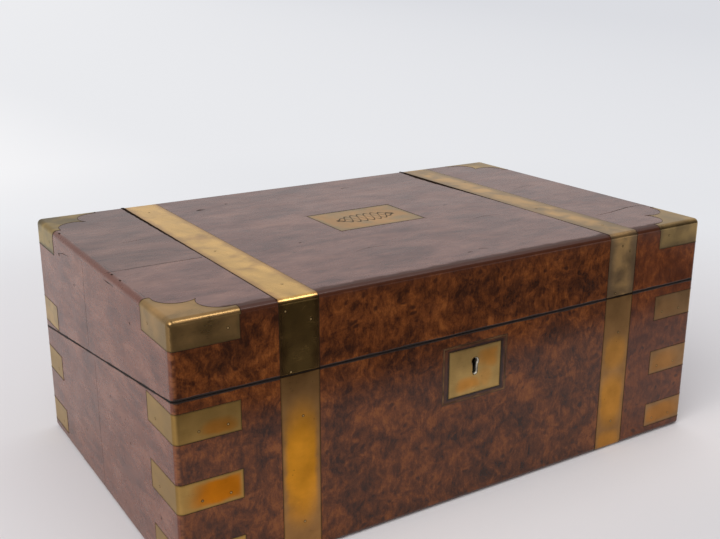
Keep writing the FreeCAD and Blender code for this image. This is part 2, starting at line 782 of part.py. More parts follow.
def flap_catch(name, frame):
    """Make the left half-moon catch on its stem, turned back into the lid's rim."""
    centre = ("0 - catch_offset", along_rim(f"{INNER_FRONT} - catch_inset"))
    low = f"({RIM_DROP} + catch_clearance)"
    disc = rod(name + "_disc", "z", "catch_radius", (low, f"{low} + catch_thick"), centre, frame)
    flat = block(
        name + "_flat",
        (f"{centre[0]} - catch_radius * 2", f"{centre[0]} + catch_radius * 2"),
        (f"{centre[1]} + catch_inset - catch_clearance", f"{centre[1]} + catch_radius * 2"),
        (f"{low} - 1", f"{low} + catch_thick + 1"),
        frame,
    )
    stem = rod(name + "_stem", "z", "catch_stem", (low, f"{low} + catch_stem_length"), centre, frame)
    return fuse(name, [cut(name + "_moon", disc, [flat]), stem])


def catch_seats(name, frame):
    """Make the left catch's two cutters: its shallow round seat and its stem's bore."""
    centre = ("0 - catch_offset", along_rim(f"{INNER_FRONT} - catch_inset"))
    low = f"({RIM_DROP} + catch_clearance)"
    floor = f"{low} + catch_thick + catch_clearance"
    seat = rod(name + "_seat", "z", "catch_radius + catch_clearance", (f"0 - {MARGIN}", floor), centre, frame)
    ends = (low, f"{low} + catch_stem_length + catch_clearance")
    bore = rod(name + "_bore", "z", "catch_stem + pin_clearance", ends, centre, frame)
    return seat, bore


def make_divider(name, below_rim):
    """Make the left wall of the pen tray's bay, stepped to carry the tray."""
    start = f"({INNER_LEFT} + ink_bay)"
    corners = [
        (start, DECK_TOP),
        (f"{start} + divider", DECK_TOP),
        (f"{start} + divider", f"{TRAY_TOP} - tray_thick"),
        (f"{start} + divider - divider_step", f"{TRAY_TOP} - tray_thick"),
        (f"{start} + divider - divider_step", "front_rim"),
        (start, "front_rim"),
    ]
    stock = padded(name + "_stock", "XZ_Plane", corners, "tray_bay", f"0 - {PARTITION_FRONT}")
    return common(name, stock, below_rim)


def make_pen_tray():
    """Make the lift-out pen tray with a round-bottomed trough closed by round ends."""
    inner = f"({INNER_LEFT} + ink_bay + divider - divider_step + tray_gap)"
    deep = (f"{INNER_FRONT} + lock_depth + lock_setback - wall + tray_gap", f"{PARTITION_FRONT} - tray_gap")
    stock = block("pen_tray_stock", (inner, f"0 - {inner}"), deep, (f"{TRAY_TOP} - tray_thick", TRAY_TOP))
    middle = (f"(({deep[0]}) + ({deep[1]})) / 2", f"{TRAY_TOP} + trough_rise")
    end = f"(0 - {inner} - trough_end - trough_radius)"
    trough = rod("trough_run", "x", "trough_radius", (f"0 - {end}", end), middle)
    balls = []
    for number, side in enumerate((-1, 1), 1):
        ball = doc.addObject("Part::Sphere", f"trough_end_{number}")
        ball.setExpression("Radius", sized("trough_radius"))
        place(ball, (f"{side} * {end}", *middle))
        balls.append(ball)
    return cut("pen_tray", stock, [trough] + balls)


def make_inkwell(name):
    """Make the left square glass inkwell, with its round neck and bore."""
    centre = (f"{INNER_LEFT} + ink_bay / 2", f"{INNER_FRONT} + tray_bay / 2")
    half = "glass_side / 2"
    square = rectangle((f"0 - {half}", half), (f"0 - {half}", half))
    glass = padded(name + "_block", "XY_Plane", square, "glass_high")
    bevelled(glass, "glass_bevel", lambda edge: edge.BoundBox.ZMax > edge.BoundBox.ZLength)
    place(glass, (*centre, DECK_TOP))
    shoulder = f"{DECK_TOP} + glass_high"
    neck_ends = (f"{DECK_TOP} + glass_high / 2", f"{shoulder} + glass_neck_high")
    neck = rod(name + "_neck", "z", "glass_neck", neck_ends, centre)
    bore_ends = (f"{DECK_TOP} + glass_base", f"{shoulder} + glass_neck_high + 1")
    bore = rod(name + "_bore", "z", "glass_bore", bore_ends, centre)
    return cut(name, fuse(name + "_solid", [glass, neck]), [bore])


def make_cap(name):
    """Make the left inkwell's brass cap, turned hollow to sit over the neck."""
    skirt = "(glass_neck + pin_clearance)"
    top = "(cap_skirt + cap_dome)"
    corners = [
        ("0", "cap_skirt - cap_wall"),
        (skirt, "cap_skirt - cap_wall"),
        (skirt, "0"),
        ("cap_radius", "0"),
        ("cap_radius", "cap_skirt"),
        ("cap_shoulder", "cap_skirt + cap_dome - cap_wall"),
        ("cap_stalk", top),
        ("cap_button", f"{top} + cap_button"),
        ("0", f"{top} + cap_button + cap_wall"),
    ]
    cap = turned(name, corners)
    centre = (f"{INNER_LEFT} + ink_bay / 2", f"{INNER_FRONT} + tray_bay / 2")
    place(cap, (*centre, f"{DECK_TOP} + glass_high + glass_neck_high - (cap_skirt - cap_wall)"))
    return cap


def make_drawer(name):
    """Make the left hidden drawer, with the hole that its knob's tail fills."""
    across = (f"({INNER_LEFT} + drawer_gap)", "(0 - drawer_divider / 2 - drawer_gap)")
    deep = (f"({INNER_FRONT} + drawer_gap)", PARTITION_BACK)
    high = ("(floor_board + rest_gap)", "(deck_high - drawer_gap)")
    outer = block(name + "_stock", across, deep, high)
    hollow = block(
        name + "_hollow",
        (f"{across[0]} + drawer_wall", f"{across[1]} - drawer_wall"),
        (f"{deep[0]} + drawer_wall", f"{deep[1]} - drawer_front"),
        (f"{high[0]} + drawer_wall", f"{high[1]} + {MARGIN}"),
    )
    middle = (f"({across[0]} + {across[1]}) / 2", f"({high[0]} + {high[1]}) / 2")
    hole = rod(name + "_hole", "y", "knob_neck", (f"{deep[1]} - drawer_front", f"{deep[1]} + 1"), middle)
    return cut(name, outer, [hollow, hole]), middle, deep[1]


def make_knob(name, middle, face):
    """Make a turned brass knob whose tail goes through the drawer's front."""
    corners = [
        ("0", "0 - drawer_front"),
        ("knob_neck", "0 - drawer_front"),
        ("knob_neck", "0"),
        ("knob_foot", "0"),
        ("knob_waist", "knob_waist_out"),
        ("knob_radius", "knob_widest_out"),
        ("knob_foot", "knob_length"),
        ("0", "knob_length"),
    ]
    knob = turned(name, corners)
    place(knob, (middle[0], face, middle[1]), None, TURN_TO["y"])
    return knob


def make_case():
    """Make the carcass, its brass, hinges and lock, and return each body's nodes."""
    frame = make_rim_frame()
    outer = rounded(closed_form("outer_form", "0"), "edge_round")
    core = bevelled(closed_form("core_form", "brass_thick"), "edge_round - brass_thick")
    across = (f"{LEFT} - {MARGIN}", f"0 - {LEFT} + {MARGIN}")
    deep = ("0 - 2 * box_depth", "box_depth")
    base_side = block("base_side", across, deep, ("0 - 2 * box_height", f"0 - {RIM_DROP}"), frame)
    lid_side = block("lid_side", across, deep, (RIM_DROP, "2 * box_height"), frame)
    base_form = common("base_form", outer, base_side)
    lid_form = common("lid_form", outer, lid_side)
    keyhole = keyhole_cutter()
    base_brass = make_base_brass(cut("base_skin", base_form, [core]), keyhole)
    lid_brass = make_lid_brass(cut("lid_skin", lid_form, [core]))
    base_wood = cut("base_wood", base_form, base_brass)
    lid_wood = cut("lid_wood", lid_form, lid_brass)
    lock_case, bolt, link_plate, lock_bed, link_bed = make_lock(frame, keyhole)
    hinges = make_hinges(frame)

    all_deep = (f"{FRONT} - {MARGIN}", f"{BACK} + {MARGIN}")
    front_deep = (all_deep[0], INNER_FRONT)
    back_deep = (INNER_BACK, all_deep[1])
    side_across = (across[0], INNER_LEFT)
    side_deep = (INNER_FRONT, INNER_BACK)
    low = ("floor_board", f"box_height + {MARGIN}")
    high = ("0", "box_height - top_board")

    base_pins = flap_pivots("base_flap_pivots", -1, frame)
    lid_pins = flap_pivots("lid_flap_pivots", 1, frame)
    catch_seat, catch_bore = catch_seats("catch_left", frame)
    catch_cuts = [both_sides("catch_seats", catch_seat), both_sides("catch_bores", catch_bore)]

    floor = board("base_floor", base_wood, across, all_deep, (f"0 - {MARGIN}", "floor_board"))
    front_board = board("base_front_board", base_wood, across, front_deep, low)
    front = cut("base_front_wall", front_board, [lock_bed, keyhole])
    base_mortise = both_sides("base_mortises", hinge_mortise("base_mortise", -1, frame))
    back_board = board("base_back_board", base_wood, across, back_deep, low)
    back = cut("base_back_wall", back_board, [base_mortise])
    left_board = board("base_left_board", base_wood, side_across, side_deep, low)
    left = cut("base_left_wall", left_board, [base_pins])
    base = [floor, front, back, left, mirrored("base_right_wall", left)]

    top = board("lid_top", lid_wood, across, all_deep, (high[1], f"box_height + {MARGIN}"))
    lid_front_board = board("lid_front_board", lid_wood, across, front_deep, high)
    lid_front = cut("lid_front_wall", lid_front_board, [link_bed] + catch_cuts)
    lid_mortise = both_sides("lid_mortises", hinge_mortise("lid_mortise", 1, frame))
    lid_back_board = board("lid_back_board", lid_wood, across, back_deep, high)
    lid_back = cut("lid_back_wall", lid_back_board, [lid_mortise])
    lid_left_board = board("lid_left_board", lid_wood, side_across, side_deep, high)
    lid_left = cut("lid_left_wall", lid_left_board, [lid_pins])
    lid = [top, lid_front, lid_back, lid_left, mirrored("lid_right_wall", lid_left)]

    catch = flap_catch("flap_catch_left", frame)
    return {
        "frame": frame,
        "flap_seats": [catch_cuts[0]],
        "nodes": base + lid + base_brass + lid_brass + hinges
        + [lock_case, bolt, link_plate, base_pins, lid_pins, catch, mirrored("flap_catch_right", catch)],
    }


def make_fittings(frame):
    """Make the fittings in the base: deck, partition, tray, inkwells and hidden drawers."""
    across = (INNER_LEFT, f"0 - {INNER_LEFT}")
    sunk = ("0 - 2 * box_height", f"0 - {RIM_DROP} - fitting_sink")
    below_rim = block("below_rim", (LEFT, f"0 - {LEFT}"), ("0 - 2 * box_depth", "box_depth"), sunk, frame)
    deck = block("ink_deck", across, (INNER_FRONT, PARTITION_BACK), ("deck_high", DECK_TOP))
    upright = block("partition_stock", across, (PARTITION_FRONT, PARTITION_BACK), (DECK_TOP, "front_rim"))
    post = block(
        "drawer_post",
        ("0 - drawer_divider / 2", "drawer_divider / 2"),
        (INNER_FRONT, PARTITION_BACK),
        ("floor_board", "deck_high"),
    )
    divider = make_divider("tray_divider_left", below_rim)
    glass = make_inkwell("inkwell_left")
    cap = make_cap("inkwell_cap_left")
    drawer, middle, face = make_drawer("drawer_left")
    knob = make_knob("drawer_knob_left", middle, face)
    left = [divider, glass, cap, drawer, knob]
    right = [mirrored(piece.Name.replace("left", "right"), piece) for piece in left]
    return [deck, common("partition", upright, below_rim), post, make_pen_tray()] + left + right


def check_and_write(nodes):
    """Stop on any failed object or bad shape, then write one file for each node."""
    doc.recompute()
    failed = [item.Name for item in doc.Objects if {"Invalid", "Error"} & set(item.State)]
    if failed:
        raise RuntimeError("These objects failed: " + ", ".join(failed))
    for item in nodes:
        if item.Shape.isNull() or not item.Shape.isValid() or not item.Shape.Solids:
            raise RuntimeError(f"{item.Name} has no sound shape")
    os.makedirs("parts", exist_ok=True)
    for item in nodes:
        item.Label = item.Name
        item.Shape.exportStep(os.path.join("parts", f"{item.Label}.step"))
        print(f"{item.Label}: {len(item.Shape.Solids)} solid(s), {item.Shape.Volume / 1000:.2f} cm3")
    print(f"{len(nodes)} nodes")


make_sheet()
case = make_case()
rim = case["frame"]
nodes = case["nodes"] + make_fittings(rim)
nodes += flap("base_flap", -1, rim, PARTITION_BACK)
nodes += flap("lid_flap", 1, rim, INNER_FRONT, case["flap_seats"])
nodes.append(flap_ledges("base_flap_ledges", -1, rim, PARTITION_BACK))
nodes.append(flap_ledges("lid_flap_ledges", 1, rim, INNER_FRONT))
check_and_write(nodes)
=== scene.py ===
import json
import logging
import math
from dataclasses import dataclass
from enum import Enum

import bmesh
import bpy
from mathutils import Matrix, Vector


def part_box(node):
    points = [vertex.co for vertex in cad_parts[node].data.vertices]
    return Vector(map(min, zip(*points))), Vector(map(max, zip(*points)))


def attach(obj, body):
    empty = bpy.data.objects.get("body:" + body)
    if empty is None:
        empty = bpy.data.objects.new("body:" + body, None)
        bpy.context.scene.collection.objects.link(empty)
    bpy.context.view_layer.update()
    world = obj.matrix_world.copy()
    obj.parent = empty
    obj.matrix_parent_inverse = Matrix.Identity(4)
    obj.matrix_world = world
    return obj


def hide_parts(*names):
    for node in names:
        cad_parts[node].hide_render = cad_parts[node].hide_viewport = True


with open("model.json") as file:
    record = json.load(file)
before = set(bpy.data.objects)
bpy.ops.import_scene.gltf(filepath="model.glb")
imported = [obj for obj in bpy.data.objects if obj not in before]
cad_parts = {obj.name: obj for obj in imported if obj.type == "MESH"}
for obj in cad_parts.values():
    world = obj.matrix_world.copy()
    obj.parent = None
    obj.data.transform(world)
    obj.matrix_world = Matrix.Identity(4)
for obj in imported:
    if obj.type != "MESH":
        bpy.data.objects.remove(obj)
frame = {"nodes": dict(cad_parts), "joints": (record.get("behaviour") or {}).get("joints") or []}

# Dresses the walnut writing box: its veneers, brass, leather and glass, its pins and screws,
# the dark joint lines round the let-in brass, and a plain studio with one camera.

LOG = logging.getLogger("writing_box")
MM = 0.001
Colour = tuple[float, float, float]
Triple = tuple[float, float, float]

HINGES = ("left", "right")
CASE_WOOD = (
    "base_floor", "base_front_wall", "base_back_wall", "base_left_wall", "base_right_wall",
    "lid_top", "lid_front_wall", "lid_back_wall", "lid_left_wall", "lid_right_wall",
)
FITTING_WOOD = (
    "ink_deck", "partition", "drawer_post", "pen_tray", "tray_divider_left", "tray_divider_right",
    "drawer_left", "drawer_right", "base_flap_board", "lid_flap_board", "base_flap_ledges",
    "lid_flap_ledges",
)


@dataclass(frozen=True)
class Case:
    """Leading sizes of the closed box, in metres, read from the frame."""

    half_width: float
    half_depth: float
    height: float
    hinge_y: float
    hinge_z: float
    tilt: float
    strap_middle: float
    strap_half: float
    front_leaf: float
    back_leaf: float
    corner_low: float
    corner_pitch: float
    corner_height: float = 18 * MM
    edge_round: float = 3.5 * MM
    rim_drop: float = 0.2 * MM

    @classmethod
    def from_frame(cls) -> "Case":
        """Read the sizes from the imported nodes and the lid's hinge.

        Returns:
            The box's leading sizes.
        """
        floor_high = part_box("base_floor")[1]
        hinge = next(joint for joint in frame["joints"] if joint["name"] == "lid_hinge")["pos_m"]
        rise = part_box("base_front_wall")[1].z + cls.rim_drop - hinge[2]
        strap_low, strap_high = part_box("lid_strap_right")
        corner_low, corner_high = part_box("base_corners_front_right")
        back_low, back_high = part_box("base_corners_back_right")
        return cls(
            half_width=floor_high.x,
            half_depth=floor_high.y,
            height=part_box("lid_top")[1].z,
            hinge_y=hinge[1],
            hinge_z=hinge[2],
            tilt=math.atan2(rise, hinge[1] + floor_high.y),
            strap_middle=(strap_low.x + strap_high.x) / 2,
            strap_half=(strap_high.x - strap_low.x) / 2,
            front_leaf=corner_high.x - corner_low.x,
            back_leaf=back_high.x - back_low.x,
            corner_low=corner_low.z,
            corner_pitch=(corner_high.z - corner_low.z - cls.corner_height) / 2,
        )

    def rim(self) -> Matrix:
        """Return the rim's frame: origin on the hinge pin, Y away from the lock, Z square to the rim."""
        origin = Vector((0, self.hinge_y, self.hinge_z))
        return Matrix.Translation(origin) @ Matrix.Rotation(-self.tilt, 4, "X")

    def along_rim(self, world_y: float) -> float:
        """Return the rim frame's Y of a point of the rim at a box Y."""
        return (world_y - self.hinge_y) / math.cos(self.tilt)

    def skin_depth(self, point: Vector) -> float:
        """Return how far a point lies from the box's rounded outer surface, positive outside.

        Args:
            point: A place in the box frame.
        """
        core = Vector((self.half_width, self.half_depth, self.height / 2))
        middle = Vector((0, 0, self.height / 2))
        past = [abs(v) - c + self.edge_round for v, c in zip(point - middle, core)]
        outside = Vector([max(v, 0.0) for v in past]).length
        return outside + min(max(past), 0.0) - self.edge_round


class Field:
    """A number that varies over a surface: a shader socket with plain arithmetic on it."""

    def __init__(self, paint: "Paint", socket: bpy.types.NodeSocket) -> None:
        """Hold a socket of the paint's node tree."""
        self.paint = paint
        self.socket = socket

    def _sum(self, operation: str, *values: "Field | float") -> "Field":
        """Add one Math node with these inputs and return its value."""
        node = self.paint.add("ShaderNodeMath", operation=operation)
        for slot, value in zip(node.inputs, values):
            self.paint.feed(slot, value)
        return Field(self.paint, node.outputs[0])

    def __add__(self, other: "Field | float") -> "Field":
        """Return the sum."""
        return self._sum("ADD", self, other)

    def __radd__(self, other: float) -> "Field":
        """Return the sum with a plain number first."""
        return self._sum("ADD", other, self)

    def __sub__(self, other: "Field | float") -> "Field":
        """Return the difference."""
        return self._sum("SUBTRACT", self, other)

    def __rsub__(self, other: float) -> "Field":
        """Return a plain number less this."""
        return self._sum("SUBTRACT", other, self)

    def __mul__(self, other: "Field | float") -> "Field":
        """Return the product."""
        return self._sum("MULTIPLY", self, other)

    def __rmul__(self, other: float) -> "Field":
        """Return the product with a plain number first."""
        return self._sum("MULTIPLY", other, self)

    def __abs__(self) -> "Field":
        """Return the size without its sign."""
        return self._sum("ABSOLUTE", self)

    def least(self, other: "Field | float") -> "Field":
        """Return the smaller of two."""
        return self._sum("MINIMUM", self, other)

    def most(self, other: "Field | float") -> "Field":
        """Return the larger of two."""
        return self._sum("MAXIMUM", self, other)

    def over(self, low: float, high: float) -> "Field":
        """Return 0 below low, 1 above high, and an easy step between them."""
        node = self.paint.add("ShaderNodeMapRange", interpolation_type="SMOOTHSTEP")
        for slot, value in zip(node.inputs, (self, low, high)):
            self.paint.feed(slot, value)
        return Field(self.paint, node.outputs[0])

    def under(self, low: float, high: float) -> "Field":
        """Return 1 below low and 0 above high."""
        return 1.0 - self.over(low, high)


class Paint:
    """One procedural material while it is mixed. Its lengths are in millimetres."""

    def __init__(self, name: str) -> None:
        """Start an empty material that reads the piece's own coordinates."""
        self.material = bpy.data.materials.new(name)
        self.material.use_nodes = True
        self.tree = self.material.node_tree
        self.tree.nodes.clear()
        self.coordinates = self.add("ShaderNodeTexCoord")
        scaled = self.add("ShaderNodeVectorMath", operation="SCALE")
        scaled.inputs["Scale"].default_value = 1 / MM
        self.feed(scaled.inputs[0], self.coordinates.outputs["Object"])
        self.point = scaled.outputs[0]

    def add(self, kind: str, **settings: object) -> bpy.types.Node:
        """Add a node of a kind with these settings."""
        node = self.tree.nodes.new(kind)
        for name, value in settings.items():
            setattr(node, name, value)
        return node

    def feed(self, slot: bpy.types.NodeSocket, value: object) -> None:
        """Link a field or socket to a slot, or set the slot's own value."""
        if isinstance(value, Field):
            self.tree.links.new(value.socket, slot)
        elif isinstance(value, bpy.types.NodeSocket):
            self.tree.links.new(value, slot)
        elif isinstance(value, tuple):
            slot.default_value = (*value, 1.0) if len(slot.default_value) == 4 else value
        else:
            slot.default_value = value

    def axes(self, vector: bpy.types.NodeSocket) -> tuple[Field, Field, Field]:
        """Return a vector's three parts."""
        node = self.add("ShaderNodeSeparateXYZ")
        self.feed(node.inputs[0], vector)
        return tuple(Field(self, output) for output in node.outputs)

    def place(self) -> tuple[Field, Field, Field]:
        """Return the place in the box frame, in millimetres."""
        return self.axes(self.point)

    def facing(self) -> tuple[Field, Field, Field]:
        """Return the way that the surface of the piece faces at rest."""
        return self.axes(self.coordinates.outputs["Normal"])

    def stretched(self, size: Triple, shift: float, turn: Triple, source: object) -> bpy.types.NodeSocket:
        """Return coordinates in which one blotch of this size is one unit long."""
        if any(turn):
            rotate = self.add("ShaderNodeMapping")
            rotate.inputs["Rotation"].default_value = turn
            self.feed(rotate.inputs["Vector"], source)
            source = rotate.outputs[0]
        mapping = self.add("ShaderNodeMapping")
        mapping.inputs["Location"].default_value = (shift, shift * 0.7, shift * 1.3)
        mapping.inputs["Scale"].default_value = tuple(1 / length for length in size)
        self.feed(mapping.inputs["Vector"], source)
        return mapping.outputs[0]

    def noise(
        self,
        size: Triple,
        detail: float = 3.0,
        rough: float = 0.55,
        warp: float = 0.0,
        shift: float = 0.0,
        turn: Triple = (0.0, 0.0, 0.0),
        source: object = None,
    ) -> Field:
        """Return cloudy variation between about 0.2 and 0.8.

        Args:
            size: Length of one cloud along X, Y and Z, in millimetres.
            detail: Number of finer layers.
            rough: Strength of the finer layers.
            warp: How far the clouds are pulled about.
            shift: Moves the pattern, so that two never match.
            turn: Turns the pattern, in radians.
            source: Coordinates to read in place of the piece's own.
        """
        node = self.add("ShaderNodeTexNoise")
        self.feed(node.inputs["Vector"], self.stretched(size, shift, turn, source or self.point))
        settings = {"Scale": 1.0, "Detail": detail, "Roughness": rough, "Distortion": warp}
        for name, value in settings.items():
            node.inputs[name].default_value = value
        return Field(self, node.outputs[0])

    def warped(self, size: float, amount: float) -> bpy.types.NodeSocket:
        """Return the piece's coordinates pushed about by a cloud of this size and reach."""
        node = self.add("ShaderNodeTexNoise")
        vector = self.stretched((size, size, size), 3.1, (0.0, 0.0, 0.0), self.point)
        self.feed(node.inputs["Vector"], vector)
        node.inputs["Scale"].default_value = 1.0
        node.inputs["Detail"].default_value = 2.0
        push = self.add("ShaderNodeVectorMath", operation="MULTIPLY_ADD")
        self.feed(push.inputs[0], node.outputs[1])
        push.inputs[1].default_value = (amount, amount, amount)
        self.feed(push.inputs[2], self.point)
        return push.outputs[0]

    def cells(self, size: Triple, shift: float = 0.0, source: object = None) -> Field:
        """Return the distance to the nearest of many scattered points, in cells."""
        node = self.add("ShaderNodeTexVoronoi")
        vector = self.stretched(size, shift, (0.0, 0.0, 0.0), source or self.point)
        self.feed(node.inputs["Vector"], vector)
        node.inputs["Scale"].default_value = 1.0
        return Field(self, node.outputs["Distance"])

    def wave(self, field: Field, length: float) -> Field:
        """Return the sine of a field that repeats at this length."""
        node = self.add("ShaderNodeMath", operation="SINE")
        self.feed(node.inputs[0], field * (math.tau / length))
        return Field(self, node.outputs[0])

    def blend(self, share: "Field | float", first: object, second: object) -> bpy.types.NodeSocket:
        """Return the first colour where share is 0 and the second where it is 1."""
        node = self.add("ShaderNodeMix", data_type="RGBA")
        self.feed(node.inputs[0], share)
        self.feed(node.inputs[6], first)
        self.feed(node.inputs[7], second)
        return node.outputs[2]

    def shades(self, field: Field, *stops: tuple[float, Colour]) -> bpy.types.NodeSocket:
        """Return a colour that runs through these stops as the field grows."""
        node = self.add("ShaderNodeValToRGB")
        self.feed(node.inputs[0], field)
        ramp = node.color_ramp
        while len(ramp.elements) < len(stops):
            ramp.elements.new(1.0)
        for element, (at, colour) in zip(ramp.elements, stops):
            element.position = at
            element.color = (*colour, 1.0)
        return node.outputs[0]

    def tint(self, colour: object, strength: Field) -> bpy.types.NodeSocket:
        """Return a colour made lighter or darker by a field about 1."""
        node = self.add("ShaderNodeVectorMath", operation="SCALE")
        self.feed(node.inputs[0], colour)
        self.feed(node.inputs["Scale"], strength)
        return node.outputs[0]

    def finish(
        self,
        colour: object,
        roughness: "Field | float",
        relief: Field | None = None,
        depth: float = 0.05,
        **settings: float | tuple[float, ...],
    ) -> bpy.types.Material:
        """Join the colour, roughness and relief to one surface and return the material.

        Args:
            colour: A colour or a socket.
            roughness: How matt the surface is.
            relief: Height that raises and sinks the surface.
            depth: How high a relief of 1 stands, in millimetres.
            settings: Plain values of the surface's other sockets, with _ for a space.
        """
        shader = self.add("ShaderNodeBsdfPrincipled")
        self.feed(shader.inputs["Base Color"], colour)
        self.feed(shader.inputs["Roughness"], roughness)
        for name, value in settings.items():
            shader.inputs[name.replace("_", " ")].default_value = value
        if relief is not None:
            bump = self.add("ShaderNodeBump")
            bump.inputs["Distance"].default_value = depth * MM
            self.feed(bump.inputs["Height"], relief)
            self.feed(shader.inputs["Normal"], bump.outputs[0])
        output = self.add("ShaderNodeOutputMaterial")
        self.feed(output.inputs[0], shader.outputs[0])
        return self.material


def from_rim(case: Case, y: Field, z: Field) -> Field:
    """Return the distance from the sloping plane where lid and base meet, in millimetres."""
    rise = (y - case.hinge_y / MM) * math.sin(case.tilt)
    return abs(rise + (z - case.hinge_z / MM) * math.cos(case.tilt))


@dataclass(frozen=True)
class Patch:
    """An oval rubbed place, in millimetres: its middle and its half sizes."""

    across: float
    along: float
    half_across: float
    half_along: float
    soft: float = 0.5
    strength: float = 1.0

    def mask(self, across: Field, along: Field) -> Field:
        """Return 1 inside the patch, falling to 0 at its edge.

        Args:
            across: The first coordinate.
            along: The second coordinate.
        """
        first = (across - self.across) * (1 / self.half_across)
        second = (along - self.along) * (1 / self.half_along)
        return (first * first + second * second).under(1.0 - self.soft, 1.0 + self.soft * 0.4) * self.strength


@dataclass(frozen=True)
class CarcassWalnut:
    """Veneered walnut: burr on the front, faded and cloudy on the top, plain on the ends."""

    case: Case
    name: str = "carcass_walnut"
    pitch: Colour = (0.012, 0.006, 0.003)
    worn: Colour = (0.052, 0.0145, 0.006)
    rubbed: Colour = (0.21, 0.070, 0.022)

    def burr(self, paint: Paint) -> bpy.types.NodeSocket:
        """Return the front's mottled colour: dark swirls and orange flecks."""
        swirl = paint.warped(24.0, 17.0)
        cloud = paint.noise((26.0, 26.0, 20.0), 2.0, 0.5, source=swirl)
        figure = paint.noise((7.5, 7.5, 7.0), 3.0, 0.55, warp=0.35, shift=2.0, source=swirl)
        streak = paint.noise((2.2, 2.2, 6.0), 3.0, 0.6, shift=5.0, source=swirl)
        fine = paint.noise((0.8, 0.8, 1.1), 2.0, 0.6, shift=9.0)
        tone = cloud * 0.42 + figure * 0.52 + streak * 0.36 + fine * 0.22 - 0.26
        colour = paint.shades(
            tone,
            (0.34, (0.025, 0.0072, 0.0026)),
            (0.45, (0.061, 0.0165, 0.0043)),
            (0.54, (0.105, 0.0280, 0.0062)),
            (0.68, (0.190, 0.0560, 0.0110)),
        )
        colour = paint.blend(paint.place()[0].over(110.0, 150.0) * 0.2, colour, (0.170, 0.036, 0.009))
        eyes = paint.cells((11.0, 11.0, 9.0), 2.0, swirl).under(0.10, 0.24) * figure.over(0.40, 0.55)
        return paint.blend(eyes * 0.75, colour, (0.019, 0.0062, 0.0028))

    def faded(self, paint: Paint) -> bpy.types.NodeSocket:
        """Return the top's colour: a cloudy purplish brown with short dark pores."""
        x, y, _ = paint.place()
        cloud = paint.noise((60.0, 26.0, 26.0), 4.0, 0.55, warp=0.8, shift=4.0)
        ripple = paint.noise((16.0, 7.0, 7.0), 4.0, 0.62, warp=0.6, shift=1.0)
        pores = paint.noise((4.0, 0.9, 0.9), 3.0, 0.65, shift=7.0)
        tone = cloud * 0.52 + ripple * 0.36 + pores * 0.16 - 0.03
        colour = paint.shades(
            tone,
            (0.36, (0.082, 0.036, 0.032)),
            (0.50, (0.152, 0.070, 0.056)),
            (0.64, (0.225, 0.110, 0.082)),
        )
        flecks = paint.noise((7.0, 1.5, 1.5), 2.0, 0.5, shift=19.0).under(0.26, 0.33)
        colour = paint.blend(flecks * ripple.under(0.45, 0.6) * 0.8, colour, (0.035, 0.018, 0.014))
        outer = (x + self.case.strap_middle / MM).under(-14.0, -13.0)
        aged = outer * y.over(-27.4, -26.6) * 0.8
        return paint.blend(aged, colour, paint.tint(colour, 0.60 + cloud * 0.3))

    def plain(self, paint: Paint, long_y: bool) -> bpy.types.NodeSocket:
        """Return the ends' or the back's colour, with its grain level."""
        size = (9.0, 34.0, 8.0) if long_y else (34.0, 9.0, 8.0)
        pore_size = (0.8, 5.0, 0.8) if long_y else (5.0, 0.8, 0.8)
        streak = paint.noise(size, 5.0, 0.62, warp=0.9, shift=11.0)
        cloud = paint.noise((40.0, 40.0, 30.0), 2.0, 0.5, shift=13.0)
        pores = paint.noise(pore_size, 3.0, 0.65, shift=15.0)
        tone = streak * 0.5 + cloud * 0.4 + pores * 0.16 - 0.03
        colour = paint.shades(
            tone,
            (0.36, (0.070, 0.019, 0.009)),
            (0.50, (0.148, 0.045, 0.021)),
            (0.64, (0.225, 0.086, 0.048)),
        )
        return paint.blend(pores.under(0.31, 0.40) * 0.75, colour, (0.045, 0.015, 0.009))

    def inside(self, paint: Paint) -> bpy.types.NodeSocket:
        """Return the colour of the solid wood under the veneer."""
        streak = paint.noise((90.0, 5.0, 4.0), 4.0, 0.6, shift=21.0)
        return paint.shades(
            streak,
            (0.36, (0.070, 0.024, 0.012)),
            (0.52, (0.125, 0.045, 0.021)),
            (0.66, (0.185, 0.075, 0.036)),
        )

    def scutcheon_banding(self, paint: Paint, colour: object, x: Field, z: Field) -> object:
        """Return the front's colour with the dark and brown bands round the escutcheon."""
        low, high = (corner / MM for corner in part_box("escutcheon_plate"))
        string_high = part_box("escutcheon_stringing")[1] / MM
        rise = (string_high.x - high.x) / (string_high.z - high.z)
        past_z = abs(z - (low.z + high.z) / 2) - (high.z - low.z) / 2
        past = (abs(x) - high.x).most(past_z * rise)
        worn = paint.noise((6.0, 6.0, 6.0), 2.0, 0.6, shift=27.0) - 0.5
        band = past.over(-0.4, 0.0) * (past + worn).under(4.9, 5.6)
        dark = (past + worn * 2.5 - x * 0.02).under(1.2, 2.2)
        edged = paint.blend(band * 0.6, colour, (0.045, 0.020, 0.012))
        return paint.blend(band * dark * 0.85, edged, (0.017, 0.009, 0.007))

    def paint_all(self) -> bpy.types.Material:
        """Mix the whole carcass finish.

        Returns:
            The material for every board of the base and the lid.
        """
        paint = Paint(self.name)
        case = self.case
        x, y, z = paint.place()
        _, facing_y, facing_z = paint.facing()
        from_end = case.half_width / MM - abs(x)
        from_face = case.half_depth / MM - abs(y)
        from_top = case.height / MM - z
        from_level = z.least(from_top)
        depth = from_end.least(from_face).least(from_level)
        from_edge = from_end.least(from_face).most(from_end.most(from_face).least(from_level))
        front = (facing_y * -1.0).over(0.6, 0.8)
        back = facing_y.over(0.6, 0.8)
        top = facing_z.over(0.6, 0.8) * from_top.under(3.0, 4.0)

